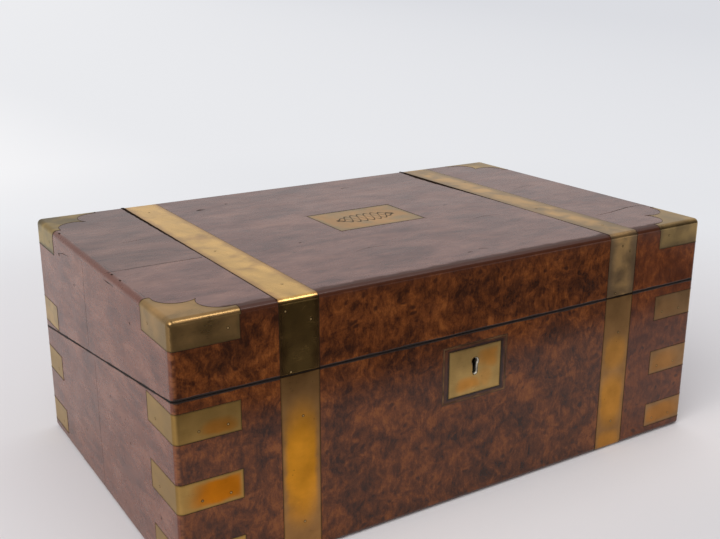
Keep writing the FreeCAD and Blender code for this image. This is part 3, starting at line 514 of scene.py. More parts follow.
        figure = self.scutcheon_banding(paint, self.burr(paint), x, z)
        colour = paint.blend(front, self.plain(paint, long_y=True), figure)
        colour = paint.blend(back, colour, self.plain(paint, long_y=False))
        colour = paint.blend(top, colour, self.faded(paint))

        ragged = paint.noise((9.0, 9.0, 5.0), 3.0, 0.6, shift=31.0)
        rim_wear = from_edge + (ragged - 0.5) * 3.0
        colour = paint.blend(from_top.under(2.0, 10.0) * front * 0.5, colour, self.worn)
        bruised = paint.blend(front, (0.115, 0.032, 0.017), self.worn)
        colour = paint.blend(rim_wear.under(2.0, 3.6) * (0.45 + ragged * 0.9), colour, bruised)
        # A dark band along the top's front rim: partly wear, partly painted shade where the top's reflection is
        # missing.
        brink = (y + case.half_depth / MM + (ragged - 0.5) * 6.0).under(5.0, 9.0) * top
        colour = paint.blend(brink * 0.85, colour, self.worn)
        upright = from_end.most(from_face).under(1.6, 3.4) * ragged.over(0.40, 0.58)
        colour = paint.blend(upright * 0.8, colour, self.rubbed)
        crease = abs(rim_wear - 4.4).under(0.15, 0.45) * ragged.over(0.46, 0.54) * (1.0 - front)

        grit = paint.cells((6.0, 6.0, 6.0), 8.0).under(0.035, 0.075) * ragged.over(0.52, 0.6)
        flaws = (crease * 0.6).most(grit * 0.7)
        colour = paint.blend(flaws * 0.92, colour, self.pitch)

        colour = paint.blend(depth.over(1.2, 1.4), colour, self.inside(paint))
        # Painted shade: the wood on both sides of the gap where lid and base meet is painted near-black with the pitch
        # colour, thinner away from the front.
        gap = from_rim(case, y, z)
        ripple = paint.noise((14.0, 14.0, 14.0), 2.0, 0.6, shift=23.0)
        seam_shade = (gap + (ripple - 0.5) * 1.4 + (1.0 - front) * 0.35).under(0.75, 1.5) * depth.under(1.4, 2.0)
        colour = paint.blend(seam_shade, colour, self.pitch)

        smear = paint.noise((30.0, 18.0, 18.0), 3.0, 0.6, shift=41.0)
        rub = paint.noise((1.2, 1.2, 1.2), 2.0, 0.6, shift=43.0)
        ripple = paint.noise((7.0, 3.2, 3.2), 3.0, 0.55, shift=37.0) * top
        roughness = (0.16 + smear * 0.16 + rub * 0.06) * (1.0 - front * 0.3) + depth.over(1.2, 1.4) * 0.25
        roughness = roughness + seam_shade * 0.4 + brink * 0.3
        relief = rub * 0.12 + smear * 0.20 + ripple * 0.45 - flaws - seam_shade
        return paint.finish(colour, roughness, relief, 0.06, IOR=1.38)



@dataclass(frozen=True)
class StraightWood:
    """Solid wood of the inner fittings, with level grain and a soft polish."""

    name: str
    dark: Colour
    light: Colour
    roughness: float = 0.38

    def paint_all(self) -> bpy.types.Material:
        """Mix the finish."""
        paint = Paint(self.name)
        streak = paint.noise((70.0, 4.0, 3.0), 5.0, 0.6, warp=0.4, shift=2.0)
        ribbon = paint.noise((18.0, 9.0, 30.0), 2.0, 0.5, shift=6.0)
        pores = paint.noise((6.0, 0.5, 0.5), 2.0, 0.6, shift=8.0)
        tone = streak * 0.6 + ribbon * 0.28 + pores * 0.12
        colour = paint.shades(tone, (0.36, self.dark), (0.64, self.light))
        colour = paint.blend(pores.under(0.28, 0.35) * 0.6, colour, tuple(v * 0.35 for v in self.dark))
        return paint.finish(colour, self.roughness + ribbon * 0.12, pores, 0.03)


class Border(Enum):
    """Which outline of let-in brass a finish measures its edges from."""

    NONE = "none"
    STRAP = "strap"
    CORNER = "corner"
    BRACKET = "bracket"
    PLATE = "plate"
    SCUTCHEON = "scutcheon"

    def distance(self, paint: Paint, case: Case) -> Field:
        """Return the distance inwards from the nearest edge of the brass, in millimetres."""
        x, y, z = paint.place()
        from_end = case.half_width / MM - abs(x)
        from_face = case.half_depth / MM - abs(y)
        along = from_end.most(from_face)
        if self is Border.STRAP:
            return case.strap_half / MM - abs(abs(x) - case.strap_middle / MM)
        if self is Border.CORNER:
            pitch = case.corner_pitch / MM
            wrap = paint.add("ShaderNodeMath", operation="WRAP")
            for slot, value in zip(wrap.inputs, (z - case.corner_low / MM, pitch, 0.0)):
                paint.feed(slot, value)
            half = case.corner_height / MM / 2
            upright = half - abs(Field(paint, wrap.outputs[0]) - half)
            return (case.front_leaf / MM - along).least(upright)
        if self is Border.BRACKET:
            low, high = (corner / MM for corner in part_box("lid_bracket_front_right"))
            return (high.x - low.x - along).least(z - low.z)
        if self in (Border.PLATE, Border.SCUTCHEON):
            name = "initial_plate" if self is Border.PLATE else "escutcheon_plate"
            low, high = (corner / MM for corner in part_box(name))
            other, first, last = (y, low.y, high.y) if self is Border.PLATE else (z, low.z, high.z)
            return (high.x - abs(x)).least((last - first) / 2 - abs(other - (first + last) / 2))
        return x * 0.0 + 10.0


@dataclass(frozen=True)
class AgedBrass:
    """Old brass: tarnished towards its edges, with soft rubbed patches and satin streaks that also paint a satin sheen,
    and with painted light and shade on its faces towards the front and the left.
    """

    name: str
    case: Case
    rubbed: Colour
    tarnish: Colour
    border: Border = Border.NONE
    patches: tuple[Patch, ...] = ()
    cover: float = 0.5
    rim: float = 0.5
    fade: float = 5.0
    roughness: float = 0.24
    darkening: float = 0.4
    engraved: bool = False
    # Painted light and shade: these three scale the colour of faces towards the front and the left, and darken the
    # front part, for how light and reflections fall there.
    front_painted_light: float = 1.0
    side_painted_light: float = 1.0
    front_painted_shade: float = 0.0

    def braid(self, paint: Paint) -> Field:
        """Return a plain engraved braid of three waves that swells in its middle, for the plate."""
        x, y, _ = paint.place()
        low, high = (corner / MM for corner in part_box("initial_plate"))
        across = x - (low.x + high.x) / 2
        deep = y - (low.y + high.y) / 2
        swell = (across * across).under(0.0, 26.0 * 26.0) * 9.0
        lines = x * 0.0
        for start in (0.0, 17.0 / 3, -17.0 / 3):
            lines = lines.most(abs(deep - paint.wave(across + start, 17.0) * swell).under(0.55, 1.15))
        return lines * abs(across).under(23.0, 24.0)

    def patchwork(self, paint: Paint, cloud: Field, slow: Field) -> Field:
        """Return where the metal is rubbed: at the named patches, or by chance where none are named."""
        if not self.patches:
            return (slow * 0.5 + cloud * 0.5).over(0.62 - self.cover * 0.45, 0.78 - self.cover * 0.35)
        x, y, z = paint.place()
        across = x + (cloud - 0.5) * 9.0
        level = z + (slow - 0.5) * 9.0
        share = self.patches[0].mask(across, level)
        for patch in self.patches[1:]:
            share = share.most(patch.mask(across, level))
        return share * (1.0 - y.over(-20.0, 20.0) * 0.65)

    def paint_all(self) -> bpy.types.Material:
        """Mix the finish.

        Returns:
            The material, whose edges follow the border that the finish names.
        """
        paint = Paint(self.name)
        _, y, z = paint.place()
        edge = self.border.distance(paint, self.case)
        cloud = paint.noise((15.0, 15.0, 13.0), 3.0, 0.5, warp=0.4, shift=2.0)
        slow = paint.noise((34.0, 34.0, 30.0), 2.0, 0.5, shift=6.0)
        # Satin: long slanting streaks that lighten and darken the colour; partly brushing marks, partly a painted satin
        # sheen.
        satin = paint.noise((60.0, 13.0, 15.0), 3.0, 0.5, shift=3.0, turn=(0.0, 0.0, 1.2))
        fine = paint.noise((4.0, 0.4, 0.4), 2.0, 0.6, shift=12.0)
        share = (edge + (cloud - 0.5) * 5.0).over(self.rim, self.rim + self.fade)
        share = share * self.patchwork(paint, cloud, slow)
        colour = paint.blend(share, self.tarnish, self.rubbed)
        # Painted light and shade: the colour is made lighter or darker on faces towards the front and the left, and
        # darker on the front part, for how light falls there.
        facing_x, facing_y, _ = paint.facing()
        front = (facing_y * -1.0).over(0.6, 0.9) * (self.front_painted_light - 1.0) + 1.0
        front = front + (facing_x * -1.0).over(0.6, 0.9) * (self.side_painted_light - 1.0)
        front = front * (1.0 - y.under(-118.0, -60.0) * self.front_painted_shade)
        colour = paint.tint(colour, (0.56 + satin * 0.62 + (cloud - 0.5) * 0.4 + (fine - 0.5) * 0.12) * front)
        # Darkening: the specks and the line along the brass edges are dirt.
        specks = paint.cells((5.0, 5.0, 5.0), 4.0).under(0.04, 0.09) * cloud.over(0.48, 0.56)
        darkening = (specks * 0.55).most(edge.under(0.2, 1.2) * self.darkening)
        ripple = paint.noise((14.0, 14.0, 14.0), 2.0, 0.6, shift=23.0)
        # Painted shade: the brass is also darkened along the gap where the lid meets the base.
        darkening = darkening.most((from_rim(self.case, y, z) + (ripple - 0.5) * 0.8).under(0.45, 1.0))
        if self.engraved:
            darkening = darkening.most(self.braid(paint) * 0.9)
        colour = paint.blend(darkening, colour, (0.020, 0.014, 0.008))
        roughness = self.roughness + cloud * 0.14 + darkening * 0.25 + (fine - 0.5) * 0.08
        relief = satin * 0.3 + fine * 0.02 - darkening
        return paint.finish(colour, roughness, relief, 0.03, Metallic=1.0, Specular_Tint=(1.0, 0.97, 0.87, 1.0))


@dataclass(frozen=True)
class PlainMetal:
    """Metal of the hidden works: brass or steel with a fine brushed surface."""

    name: str
    colour: Colour
    roughness: float = 0.32

    def paint_all(self) -> bpy.types.Material:
        """Mix the finish."""
        paint = Paint(self.name)
        brushed = paint.noise((9.0, 0.5, 0.5), 3.0, 0.6)
        cloud = paint.noise((7.0, 7.0, 7.0), 3.0, 0.6, shift=3.0)
        colour = paint.tint(self.colour, 0.70 + cloud * 0.45 + brushed * 0.15)
        colour = paint.blend(cloud.under(0.34, 0.42) * 0.5, colour, tuple(v * 0.3 for v in self.colour))
        return paint.finish(colour, self.roughness + cloud * 0.2, brushed, 0.02, Metallic=1.0)


@dataclass(frozen=True)
class SkiverLeather:
    """Thin green leather, with tooled gilt lines and a twisted gilt chain between them."""

    name: str
    node: str
    hide: Colour = (0.020, 0.052, 0.034)
    gilt: Colour = (0.62, 0.40, 0.13)

    def paint_all(self) -> bpy.types.Material:
        """Mix the finish for the leather of one flap."""
        paint = Paint(self.name)
        x, y, _ = paint.place()
        low, high = (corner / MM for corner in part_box(self.node))
        edge = (high.x - abs(x)).least((high.y - low.y) / 2 - abs(y - (high.y + low.y) / 2))
        cloud = paint.noise((45.0, 45.0, 45.0), 4.0, 0.6)
        grain = paint.cells((1.3, 1.3, 1.3))
        crease = paint.noise((3.0, 3.0, 3.0), 3.0, 0.6, shift=5.0)
        colour = paint.tint(self.hide, 0.55 + cloud * 0.8 + grain * 0.25)
        lines = abs(edge - 4.0).under(0.3, 0.5).most(abs(edge - 9.0).under(0.15, 0.3))
        level = abs(paint.wave(x, 7.0) * 1.1 - (edge - 6.5)).least(abs(paint.wave(x + 3.5, 7.0) * 1.1 - (edge - 6.5)))
        upright = abs(paint.wave(y, 7.0) * 1.1 - (edge - 6.5)).least(abs(paint.wave(y + 3.5, 7.0) * 1.1 - (edge - 6.5)))
        beside = (high.x - abs(x)).under(8.6, 8.8)
        chain = (level + beside * 9.0).least(upright + (1.0 - beside) * 9.0).under(0.22, 0.42)
        gilding = lines.most(chain * abs(edge - 6.5).under(1.5, 1.6)) * crease.over(0.28, 0.34)
        colour = paint.blend(gilding, colour, self.gilt)
        relief = grain * 0.5 + crease * 0.4 - gilding * 0.8
        return paint.finish(colour, 0.46 - gilding * 0.16, relief, 0.05)


@dataclass(frozen=True)
class ClearGlass:
    """Thick pressed glass, faintly green, with a little waviness."""

    name: str = "clear_glass"

    def paint_all(self) -> bpy.types.Material:
        """Mix the finish."""
        paint = Paint(self.name)
        wave = paint.noise((9.0, 9.0, 9.0), 2.0, 0.5)
        tone = paint.shades(wave, (0.3, (0.90, 0.96, 0.93)), (0.7, (0.96, 0.99, 0.97)))
        return paint.finish(tone, 0.03 + wave * 0.03, wave, 0.05, IOR=1.5, Transmission_Weight=1.0)


@dataclass(frozen=True)
class DarkFill:
    """A dark matt or wet filling: the pitch in the joints, the shadow in a slot, or ink."""

    name: str
    colour: Colour
    roughness: float
    shine: float = 0.0

    def paint_all(self) -> bpy.types.Material:
        """Mix the finish."""
        paint = Paint(self.name)
        cloud = paint.noise((3.0, 3.0, 3.0), 3.0, 0.6)
        colour = paint.tint(self.colour, 0.5 + cloud)
        return paint.finish(colour, self.roughness + cloud * 0.1, cloud, 0.02, Specular_IOR_Level=self.shine)


def dress(nodes: tuple[str, ...], material: bpy.types.Material) -> None:
    """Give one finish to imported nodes.

    Args:
        nodes: Names of the nodes.
        material: The finish.
    """
    for name in nodes:
        mesh = frame["nodes"][name].data
        mesh.materials.clear()
        mesh.materials.append(material)
        LOG.info("%s dressed in %s", name, material.name)


def keep(
    name: str,
    form: bmesh.types.BMesh,
    material: bpy.types.Material,
    body: str,
    crease: float = 35.0,
) -> bpy.types.Object:
    """Turn a finished form into a piece that rides on a body.

    Args:
        name: Name of the piece.
        form: Its shape, in the box frame. It is freed.
        material: Its finish.
        body: The body that carries it.
        crease: Edges that turn by more than this many degrees stay sharp.

    Returns:
        The new object.
    """
    bmesh.ops.remove_doubles(form, verts=form.verts, dist=MM / 500)
    bmesh.ops.recalc_face_normals(form, faces=form.faces)
    for face in form.faces:
        face.smooth = True
    for edge in form.edges:
        edge.smooth = len(edge.link_faces) == 2 and edge.calc_face_angle(0.0) < math.radians(crease)
    mesh = bpy.data.meshes.new(name)
    form.to_mesh(mesh)
    form.free()
    mesh.materials.append(material)
    piece = bpy.data.objects.new(name, mesh)
    bpy.context.scene.collection.objects.link(piece)
    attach(piece, body)
    LOG.info("%s made on %s", name, body)
    return piece


def put(form: bmesh.types.BMesh, part: bmesh.types.BMesh, matrix: Matrix) -> None:
    """Add a part to a form at a place, and free the part."""
    bmesh.ops.transform(part, matrix=matrix, verts=part.verts)
    mesh = bpy.data.meshes.new("part")
    part.to_mesh(mesh)
    part.free()
    form.from_mesh(mesh)
    bpy.data.meshes.remove(mesh)


def turned(profile: list[tuple[float, float]], steps: int) -> bmesh.types.BMesh:
    """Turn an outline of radius and height about Z.

    Args:
        profile: Pairs of radius and height, in metres.
        steps: Number of sides.
    """
    form = bmesh.new()
    points = [form.verts.new((radius, 0.0, height)) for radius, height in profile]
    lines = [form.edges.new(pair) for pair in zip(points, points[1:])]
    bmesh.ops.spin(
        form, geom=points + lines, cent=(0, 0, 0), axis=(0, 0, 1), angle=math.tau, steps=steps, use_merge=True
    )
    return form


def upright_on(point: Vector, normal: Vector, turn: float = 0.0) -> Matrix:
    """Return the place whose Z points along a normal at a point."""
    tilt = normal.to_track_quat("Z", "Y").to_matrix().to_4x4()
    return Matrix.Translation(point) @ tilt @ Matrix.Rotation(turn, 4, "Z")


@dataclass(frozen=True)
class Screw:
    """A countersunk slotted screw head, in metres."""

    radius: float = 1.9 * MM
    slot_half: float = 0.28 * MM
    slot_depth: float = 0.6 * MM
    crown: float = 0.12 * MM
    sides: int = 20

    def form(self) -> bmesh.types.BMesh:
        """Return the head with its slot along X, its seat at Z 0."""
        head = bmesh.new()
        bmesh.ops.create_circle(head, cap_ends=True, segments=self.sides, radius=self.radius)
        for side in (-1, 1):
            geometry = head.verts[:] + head.edges[:] + head.faces[:]
            plane = Vector((0, side * self.slot_half, 0))
            bmesh.ops.bisect_plane(head, geom=geometry, plane_co=plane, plane_no=(0, side, 0))
        for vert in head.verts:
            vert.co.z = self.crown * (1 - (vert.co.length / self.radius) ** 2)
        strip = [face for face in head.faces if abs(face.calc_center_median().y) < self.slot_half / 2]
        floor = bmesh.ops.extrude_face_region(head, geom=strip)["geom"]
        bmesh.ops.delete(head, geom=strip, context="FACES")
        sunk = [item for item in floor if isinstance(item, bmesh.types.BMVert)]
        bmesh.ops.translate(head, verts=sunk, vec=(0, 0, -self.slot_depth))
        return head


class Scars:
    """Cracks, gaps, dents and open joints in the veneer, each filled with a dark ribbon: pitch in most, and painted
    shade in the open gaps beside the straps on the top.

    Each is a path of places on one face with a half width at each, in millimetres.
    """

    TOP = (
        ((-199.0, -27.2, 0.24), (-170.0, -26.6, 0.34), (-139.0, -27.3, 0.3)),
        ((143.0, -79.0, 0.15), (160.0, -77.5, 0.35), (178.0, -73.6, 0.45), (190.0, -73.0, 0.35), (196.0, -77.0, 0.15)),
        # These three run along the straps' left edges: dark ribbons of painted shade in the open gap beside each strap,
        # widest where the strap stands up at the back.
        ((111.6, -123.0, 0.4), (111.7, -90.0, 0.35), (111.9, -60.0, 0.12)),
        ((111.9, -45.0, 0.1), (111.6, 0.0, 0.45), (110.8, 35.0, 1.2), (109.9, 70.0, 2.2), (109.7, 96.0, 2.3), (110.6, 123.0, 1.2)),
        ((-137.2, -123.0, 0.3), (-137.3, -30.0, 0.35), (-137.6, 40.0, 0.9), (-137.9, 122.0, 1.3)),
        ((-197.4, 74.0, 0.3), (-197.2, 75.2, 0.9), (-197.6, 76.0, 0.3)),
        ((-197.6, -30.5, 0.3), (-197.2, -31.6, 0.7), (-197.7, -32.6, 0.3)),
        ((-197.4, -44.0, 0.2), (-197.1, -45.6, 0.7), (-197.6, -46.4, 0.2)),
        ((-95.0, 85.0, 0.3), (-91.5, 86.0, 1.3), (-88.0, 85.4, 0.3)),
        ((-68.6, 93.3, 0.2), (-67.5, 93.6, 0.9), (-66.4, 93.0, 0.3)),
        ((32.6, 92.8, 0.1), (36.0, 93.6, 0.5), (41.0, 93.0, 0.1)),
        ((5.8, -105.2, 0.1), (8.0, -104.6, 0.55), (10.2, -105.4, 0.15)),
        ((17.5, -101.6, 0.15), (20.5, -102.6, 0.4), (23.6, -104.6, 0.1)),
        ((-73.4, -30.6, 0.2), (-72.0, -30.2, 0.6), (-71.2, -30.8, 0.1)),
        ((68.0, 3.6, 0.1), (70.0, 4.3, 0.4), (72.2, 3.8, 0.1)),
        ((-52.0, -66.0, 0.05), (-40.0, -63.0, 0.22), (-28.0, -64.0, 0.05)),
        ((60.0, -40.0, 0.05), (74.0, -37.5, 0.2), (88.0, -39.0, 0.05)),
        ((-170.0, 30.0, 0.05), (-160.0, 31.5, 0.2), (-151.0, 31.0, 0.05)),
        ((152.0, 20.0, 0.05), (163.0, 22.0, 0.22), (175.0, 21.0, 0.05)),
    )
    LID_END = (
        ((19.0, 97.0, 0.16), (19.4, 125.0, 0.2), (18.8, 155.5, 0.16)),
        ((48.0, 151.0, 0.08), (62.0, 149.6, 0.22), (74.0, 147.0, 0.08)),
        ((-40.0, 155.3, 0.05), (-30.0, 155.1, 0.3), (-22.0, 155.2, 0.05)),
        ((-66.0, 140.0, 0.1), (-65.0, 141.0, 0.5), (-64.0, 141.2, 0.1)),
        ((70.0, 146.0, 0.2), (71.2, 147.0, 0.8), (72.2, 147.2, 0.2)),
        ((40.0, 133.0, 0.1), (41.0, 133.6, 0.5), (42.2, 133.8, 0.1)),
    )
    BASE_END = (
        ((8.0, 5.0, 0.14), (9.2, 40.0, 0.2), (8.6, 92.0, 0.16)),
        ((-52.0, 60.0, 0.1), (-50.8, 60.8, 0.5), (-50.0, 61.0, 0.1)),
        ((-20.0, 78.0, 0.1), (-19.0, 78.5, 0.45), (-18.4, 79.4, 0.1)),
        ((40.0, 30.0, 0.1), (41.0, 30.8, 0.45), (42.2, 31.0, 0.1)),
        ((-97.0, 33.0, 0.1), (-96.0, 33.4, 0.6), (-95.4, 36.0, 0.2)),
    )
    STRAY = 0.35
    FLATNESS = 0.12

    def __init__(self, case: Case) -> None:
        """Mix the filling, and add the scribed lines that overshoot the plate's corners."""
        self.case = case
        self.pitch = DarkFill("scar_pitch_and_gap_shade", (0.022, 0.014, 0.010), 0.8).paint_all()
        low, high = (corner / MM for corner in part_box("initial_plate"))
        over = 2.6
        down = [((x, low.y - over, 0.12), (x, 0.0, 0.22), (x, high.y + over, 0.12)) for x in (low.x, high.x)]
        across = [((low.x - over, y, 0.12), (0.0, y, 0.22), (high.x + over, y, 0.12)) for y in (low.y, high.y)]
        self.scribed = tuple(down + across)

    def path(self, corners: tuple[Triple, ...], stray: float) -> list[Triple]:
        """Return a path cut into short steps that stray a little from the straight.

        Args:
            corners: Two coordinates and a half width at each named place.
            stray: How far the path wanders, in millimetres.
        """
        points = []
        for first, last in zip(corners, corners[1:]):
            steps = max(1, round(math.dist(first[:2], last[:2]) / 3.0))
            for step in range(steps):
                u, v, half = (a + (b - a) * step / steps for a, b in zip(first, last))
                wave = math.sin(u * 0.37 + v * 0.29) + 0.6 * math.sin(u * 0.83 - v * 0.71 + 1.0)
                shift = stray * wave * min(half, 0.5)
                points.append((u + shift * 0.6, v + shift, half * (1.0 + 0.12 * math.sin(u * 0.9 + v * 0.7))))
        return [*points, corners[-1]]

    def fill(self, name: str, body: str, scars: tuple, face: Matrix, stray: float) -> None:
        """Lay the filling of some scars on one face.

        Args:
            name: Name of the piece.
            body: The body that carries it.
            scars: The paths.
            face: Turns a place on the face into the box frame; its Z points out of the box.
            stray: How far the paths wander, in millimetres.
        """
        curve = bpy.data.curves.new(name, "CURVE")
        curve.dimensions = "3D"
        curve.bevel_depth = MM
        curve.bevel_resolution = 1
        curve.use_fill_caps = True
        for corners in scars:
            points = self.path(corners, stray)
            spline = curve.splines.new("POLY")
            spline.points.add(len(points) - 1)
            for point, (u, v, half) in zip(spline.points, points):
                point.co = (u * MM, v * MM, 0.0, 1.0)
                point.radius = half
        carrier = bpy.data.objects.new(name + "_curve", curve)
        mesh = bpy.data.meshes.new_from_object(carrier)
        form = bmesh.new()
        form.from_mesh(mesh)
        bpy.data.objects.remove(carrier)
        bpy.data.meshes.remove(mesh)
        bmesh.ops.transform(form, matrix=face @ Matrix.Diagonal((1, 1, self.FLATNESS, 1)), verts=form.verts)
        keep(name, form, self.pitch, body)

    def build(self) -> None:
        """Fill the scars of the top and of the left end."""
        top = Matrix.Translation((0, 0, self.case.height))
        end = Matrix.Translation((-self.case.half_width, 0, 0)) @ Matrix(
            ((0, 0, -1, 0), (1, 0, 0, 0), (0, 1, 0, 0), (0, 0, 0, 1))
        )
        self.fill("top_scars", "lid_case", self.TOP, top, self.STRAY)
        self.fill("plate_scribing", "lid_case", self.scribed, top, 0.0)
        self.fill("lid_end_scars", "lid_case", self.LID_END, end, self.STRAY)
        self.fill("base_end_scars", "base_case", self.BASE_END, end, self.STRAY)


class BrassInlay:
    """The brass let into the outside: straps, corner straps, brackets, plate and escutcheon."""

    BASE = (
        "base_strap_front_left", "base_strap_front_right", "base_straps_back",
        "base_corners_front_left", "base_corners_front_right",
        "base_corners_back_left", "base_corners_back_right", "escutcheon_plate",
    )
    LID = (
        "lid_strap_left", "lid_strap_right", "lid_bracket_front_left", "lid_bracket_front_right",
        "lid_bracket_back_left", "lid_bracket_back_right", "lid_corners_back", "initial_plate",
    )

    def __init__(self, case: Case) -> None:
        """Mix the finishes."""
        self.case = case
        self.pitch = DarkFill("joint_pitch", (0.022, 0.013, 0.008), 0.8).paint_all()

    def dress(self) -> None:
        """Give each kind of let-in brass its own wear."""
        case = self.case
        strap = case.strap_middle / MM
        finishes = {
            ("lid_strap_left",): AgedBrass(
                "bright_strap_brass",
                case,
                (0.82, 0.51, 0.17),
                (0.52, 0.29, 0.11),
                Border.STRAP,
                cover=0.8,
                roughness=0.18,
                front_painted_light=0.42,
            ),
            ("lid_strap_right",): AgedBrass(
                "dull_strap_brass", case, (0.62, 0.38, 0.16), (0.31, 0.20, 0.11), Border.STRAP, cover=0.6, rim=1.0, fade=8.0, darkening=0.2,
                front_painted_light=1.4, front_painted_shade=0.22,
            ),
            self.BASE[:3]: AgedBrass(
                "base_strap_brass",
                case,
                (0.67, 0.283, 0.023),
                (0.36, 0.19, 0.070),
                Border.STRAP,
                (
                    Patch(-strap, 60.0, 16.0, 40.0, 0.9),
                    Patch(strap, 74.0, 14.0, 14.0, 0.9, 0.45),
                    Patch(strap - 1.0, 38.0, 15.0, 22.0, 0.9, 0.6),
                    Patch(strap, 6.0, 14.0, 9.0, 0.9, 0.5),
                ),
                fade=4.0,
            ),
            (self.BASE[3], self.BASE[5]): AgedBrass(
                "left_corner_brass",
                case,
                (0.52, 0.168, 0.008),
                (0.43, 0.26, 0.080),
                Border.CORNER,
                (
                    Patch(-174.0, 57.0, 20.0, 13.0, 0.9),
                    Patch(-172.0, 13.0, 20.0, 12.0, 0.9),
                    Patch(-174.0, 96.0, 12.0, 6.5, 0.9, 0.6),
                ),
                fade=3.0,
                side_painted_light=0.85,
            ),
            (self.BASE[4], self.BASE[6]): AgedBrass(
                "right_corner_brass",
                case,
                (0.46, 0.175, 0.019),
                (0.34, 0.19, 0.085),
                Border.CORNER,
                (
                    Patch(176.0, 56.0, 17.0, 10.0, 0.9, 0.4),
                    Patch(178.0, 14.0, 20.0, 11.0, 0.9, 0.6),
                    Patch(172.0, 97.0, 14.0, 8.0, 0.9, 0.15),
                ),
                fade=3.0,
            ),
            self.LID[2:3]: AgedBrass(
                "left_bracket_brass",
                case,
                (0.42, 0.25, 0.10),
                (0.30, 0.185, 0.075),
                Border.BRACKET,
                roughness=0.23,
                front_painted_light=1.7,
                side_painted_light=0.83,
            ),
            self.LID[6:7]: AgedBrass("back_corner_brass", case, (0.52, 0.34, 0.15), (0.36, 0.23, 0.10)),
            (self.LID[3], self.LID[5]): AgedBrass(
                "right_bracket_brass", case, (0.44, 0.29, 0.12), (0.30, 0.20, 0.095), Border.BRACKET, cover=0.5
            ),
            self.LID[4:5]: AgedBrass(
                "dark_bracket_brass", case, (0.36, 0.24, 0.075), (0.10, 0.066, 0.022), Border.BRACKET, cover=0.6, fade=3.0
            ),
            ("escutcheon_plate",): AgedBrass(
                "escutcheon_brass",
                case,
                (0.70, 0.32, 0.07),
                (0.59, 0.38, 0.135),
                Border.SCUTCHEON,
                (Patch(-5.0, 79.0, 11.0, 7.0, 0.9), Patch(13.0, 97.0, 11.0, 9.0, 0.9), Patch(9.0, 83.0, 6.0, 9.0, 0.9, 0.5)),
            ),
            ("initial_plate",): AgedBrass(
                "plate_brass", case, (0.52, 0.28, 0.11), (0.34, 0.24, 0.13), Border.PLATE, cover=0.7, engraved=True
            ),
            ("escutcheon_stringing",): AgedBrass("string_brass", case, (0.30, 0.17, 0.08), (0.12, 0.065, 0.035)),
        }
        for nodes, finish in finishes.items():
            dress(nodes, finish.paint_all())

    def outline(self, node: str) -> list[list[Vector]]:
        """Return the closed lines in which a plate's face meets its edges.

        Args:
            node: Name of the let-in brass.
        """
        form = bmesh.new()
        form.from_mesh(frame["nodes"][node].data)
        bmesh.ops.remove_doubles(form, verts=form.verts, dist=MM / 1000)
        border = [
            edge
            for edge in form.edges
            if len(edge.link_faces) == 2
            and edge.calc_face_angle(0.0) > math.radians(50)
            and all(abs(self.case.skin_depth(vert.co)) < 0.08 * MM for vert in edge.verts)
        ]
        beside: dict[int, list[bmesh.types.BMVert]] = {}
        for edge in border:
            for vert in edge.verts:
                beside.setdefault(vert.index, []).append(edge.other_vert(vert))
        form.verts.ensure_lookup_table()
        left = {vert.index for edge in border for vert in edge.verts if len(beside[vert.index]) == 2}
        lines = []
        while left:
            line = [form.verts[left.pop()]]
            ahead = [vert for vert in beside[line[-1].index] if vert.index in left]
            while ahead:
                line.append(ahead[0])
                left.discard(ahead[0].index)
                ahead = [vert for vert in beside[line[-1].index] if vert.index in left]
            if len(line) > 2:
                lines.append([vert.co.copy() for vert in line])
        form.free()
        return lines

    def boldness(self, place: Vector) -> float:
        """Return how bold the joint is at a place: faint along the straps' right edges on the top, a little thinner
        elsewhere on the top and on the front half of the left end.
        """
        case = self.case
        if place.z > case.height - 0.4 * MM:
            on_strap = abs(abs(place.x) - case.strap_middle) < case.strap_half + MM
            right = place.x > math.copysign(case.strap_middle, place.x)
            return 0.15 if on_strap and right else 0.7
        if place.x < MM - case.half_width and place.y < 0:
            return 0.45
        return 0.85

    def joint_lines(self, name: str, nodes: tuple[str, ...], body: str) -> None:
        """Lay a hair of dark pitch round each plate of let-in brass.

        Args:
            name: Name of the piece.
            nodes: The plates.
            body: The body that carries them.
        """
        curve = bpy.data.curves.new(name, "CURVE")
        curve.dimensions = "3D"
        curve.bevel_depth = 0.2 * MM
        curve.bevel_resolution = 0
        for node in nodes:
            for line in self.outline(node):
                spline = curve.splines.new("POLY")
                spline.points.add(len(line) - 1)
                for point, place in zip(spline.points, line):
                    point.co = (*place, 1.0)
                    point.radius = self.boldness(place)
                spline.use_cyclic_u = True
        carrier = bpy.data.objects.new(name + "_curve", curve)
        mesh = bpy.data.meshes.new_from_object(carrier)
        form = bmesh.new()
        form.from_mesh(mesh)
        bpy.data.objects.remove(carrier)
        bpy.data.meshes.remove(mesh)
        keep(name, form, self.pitch, body)

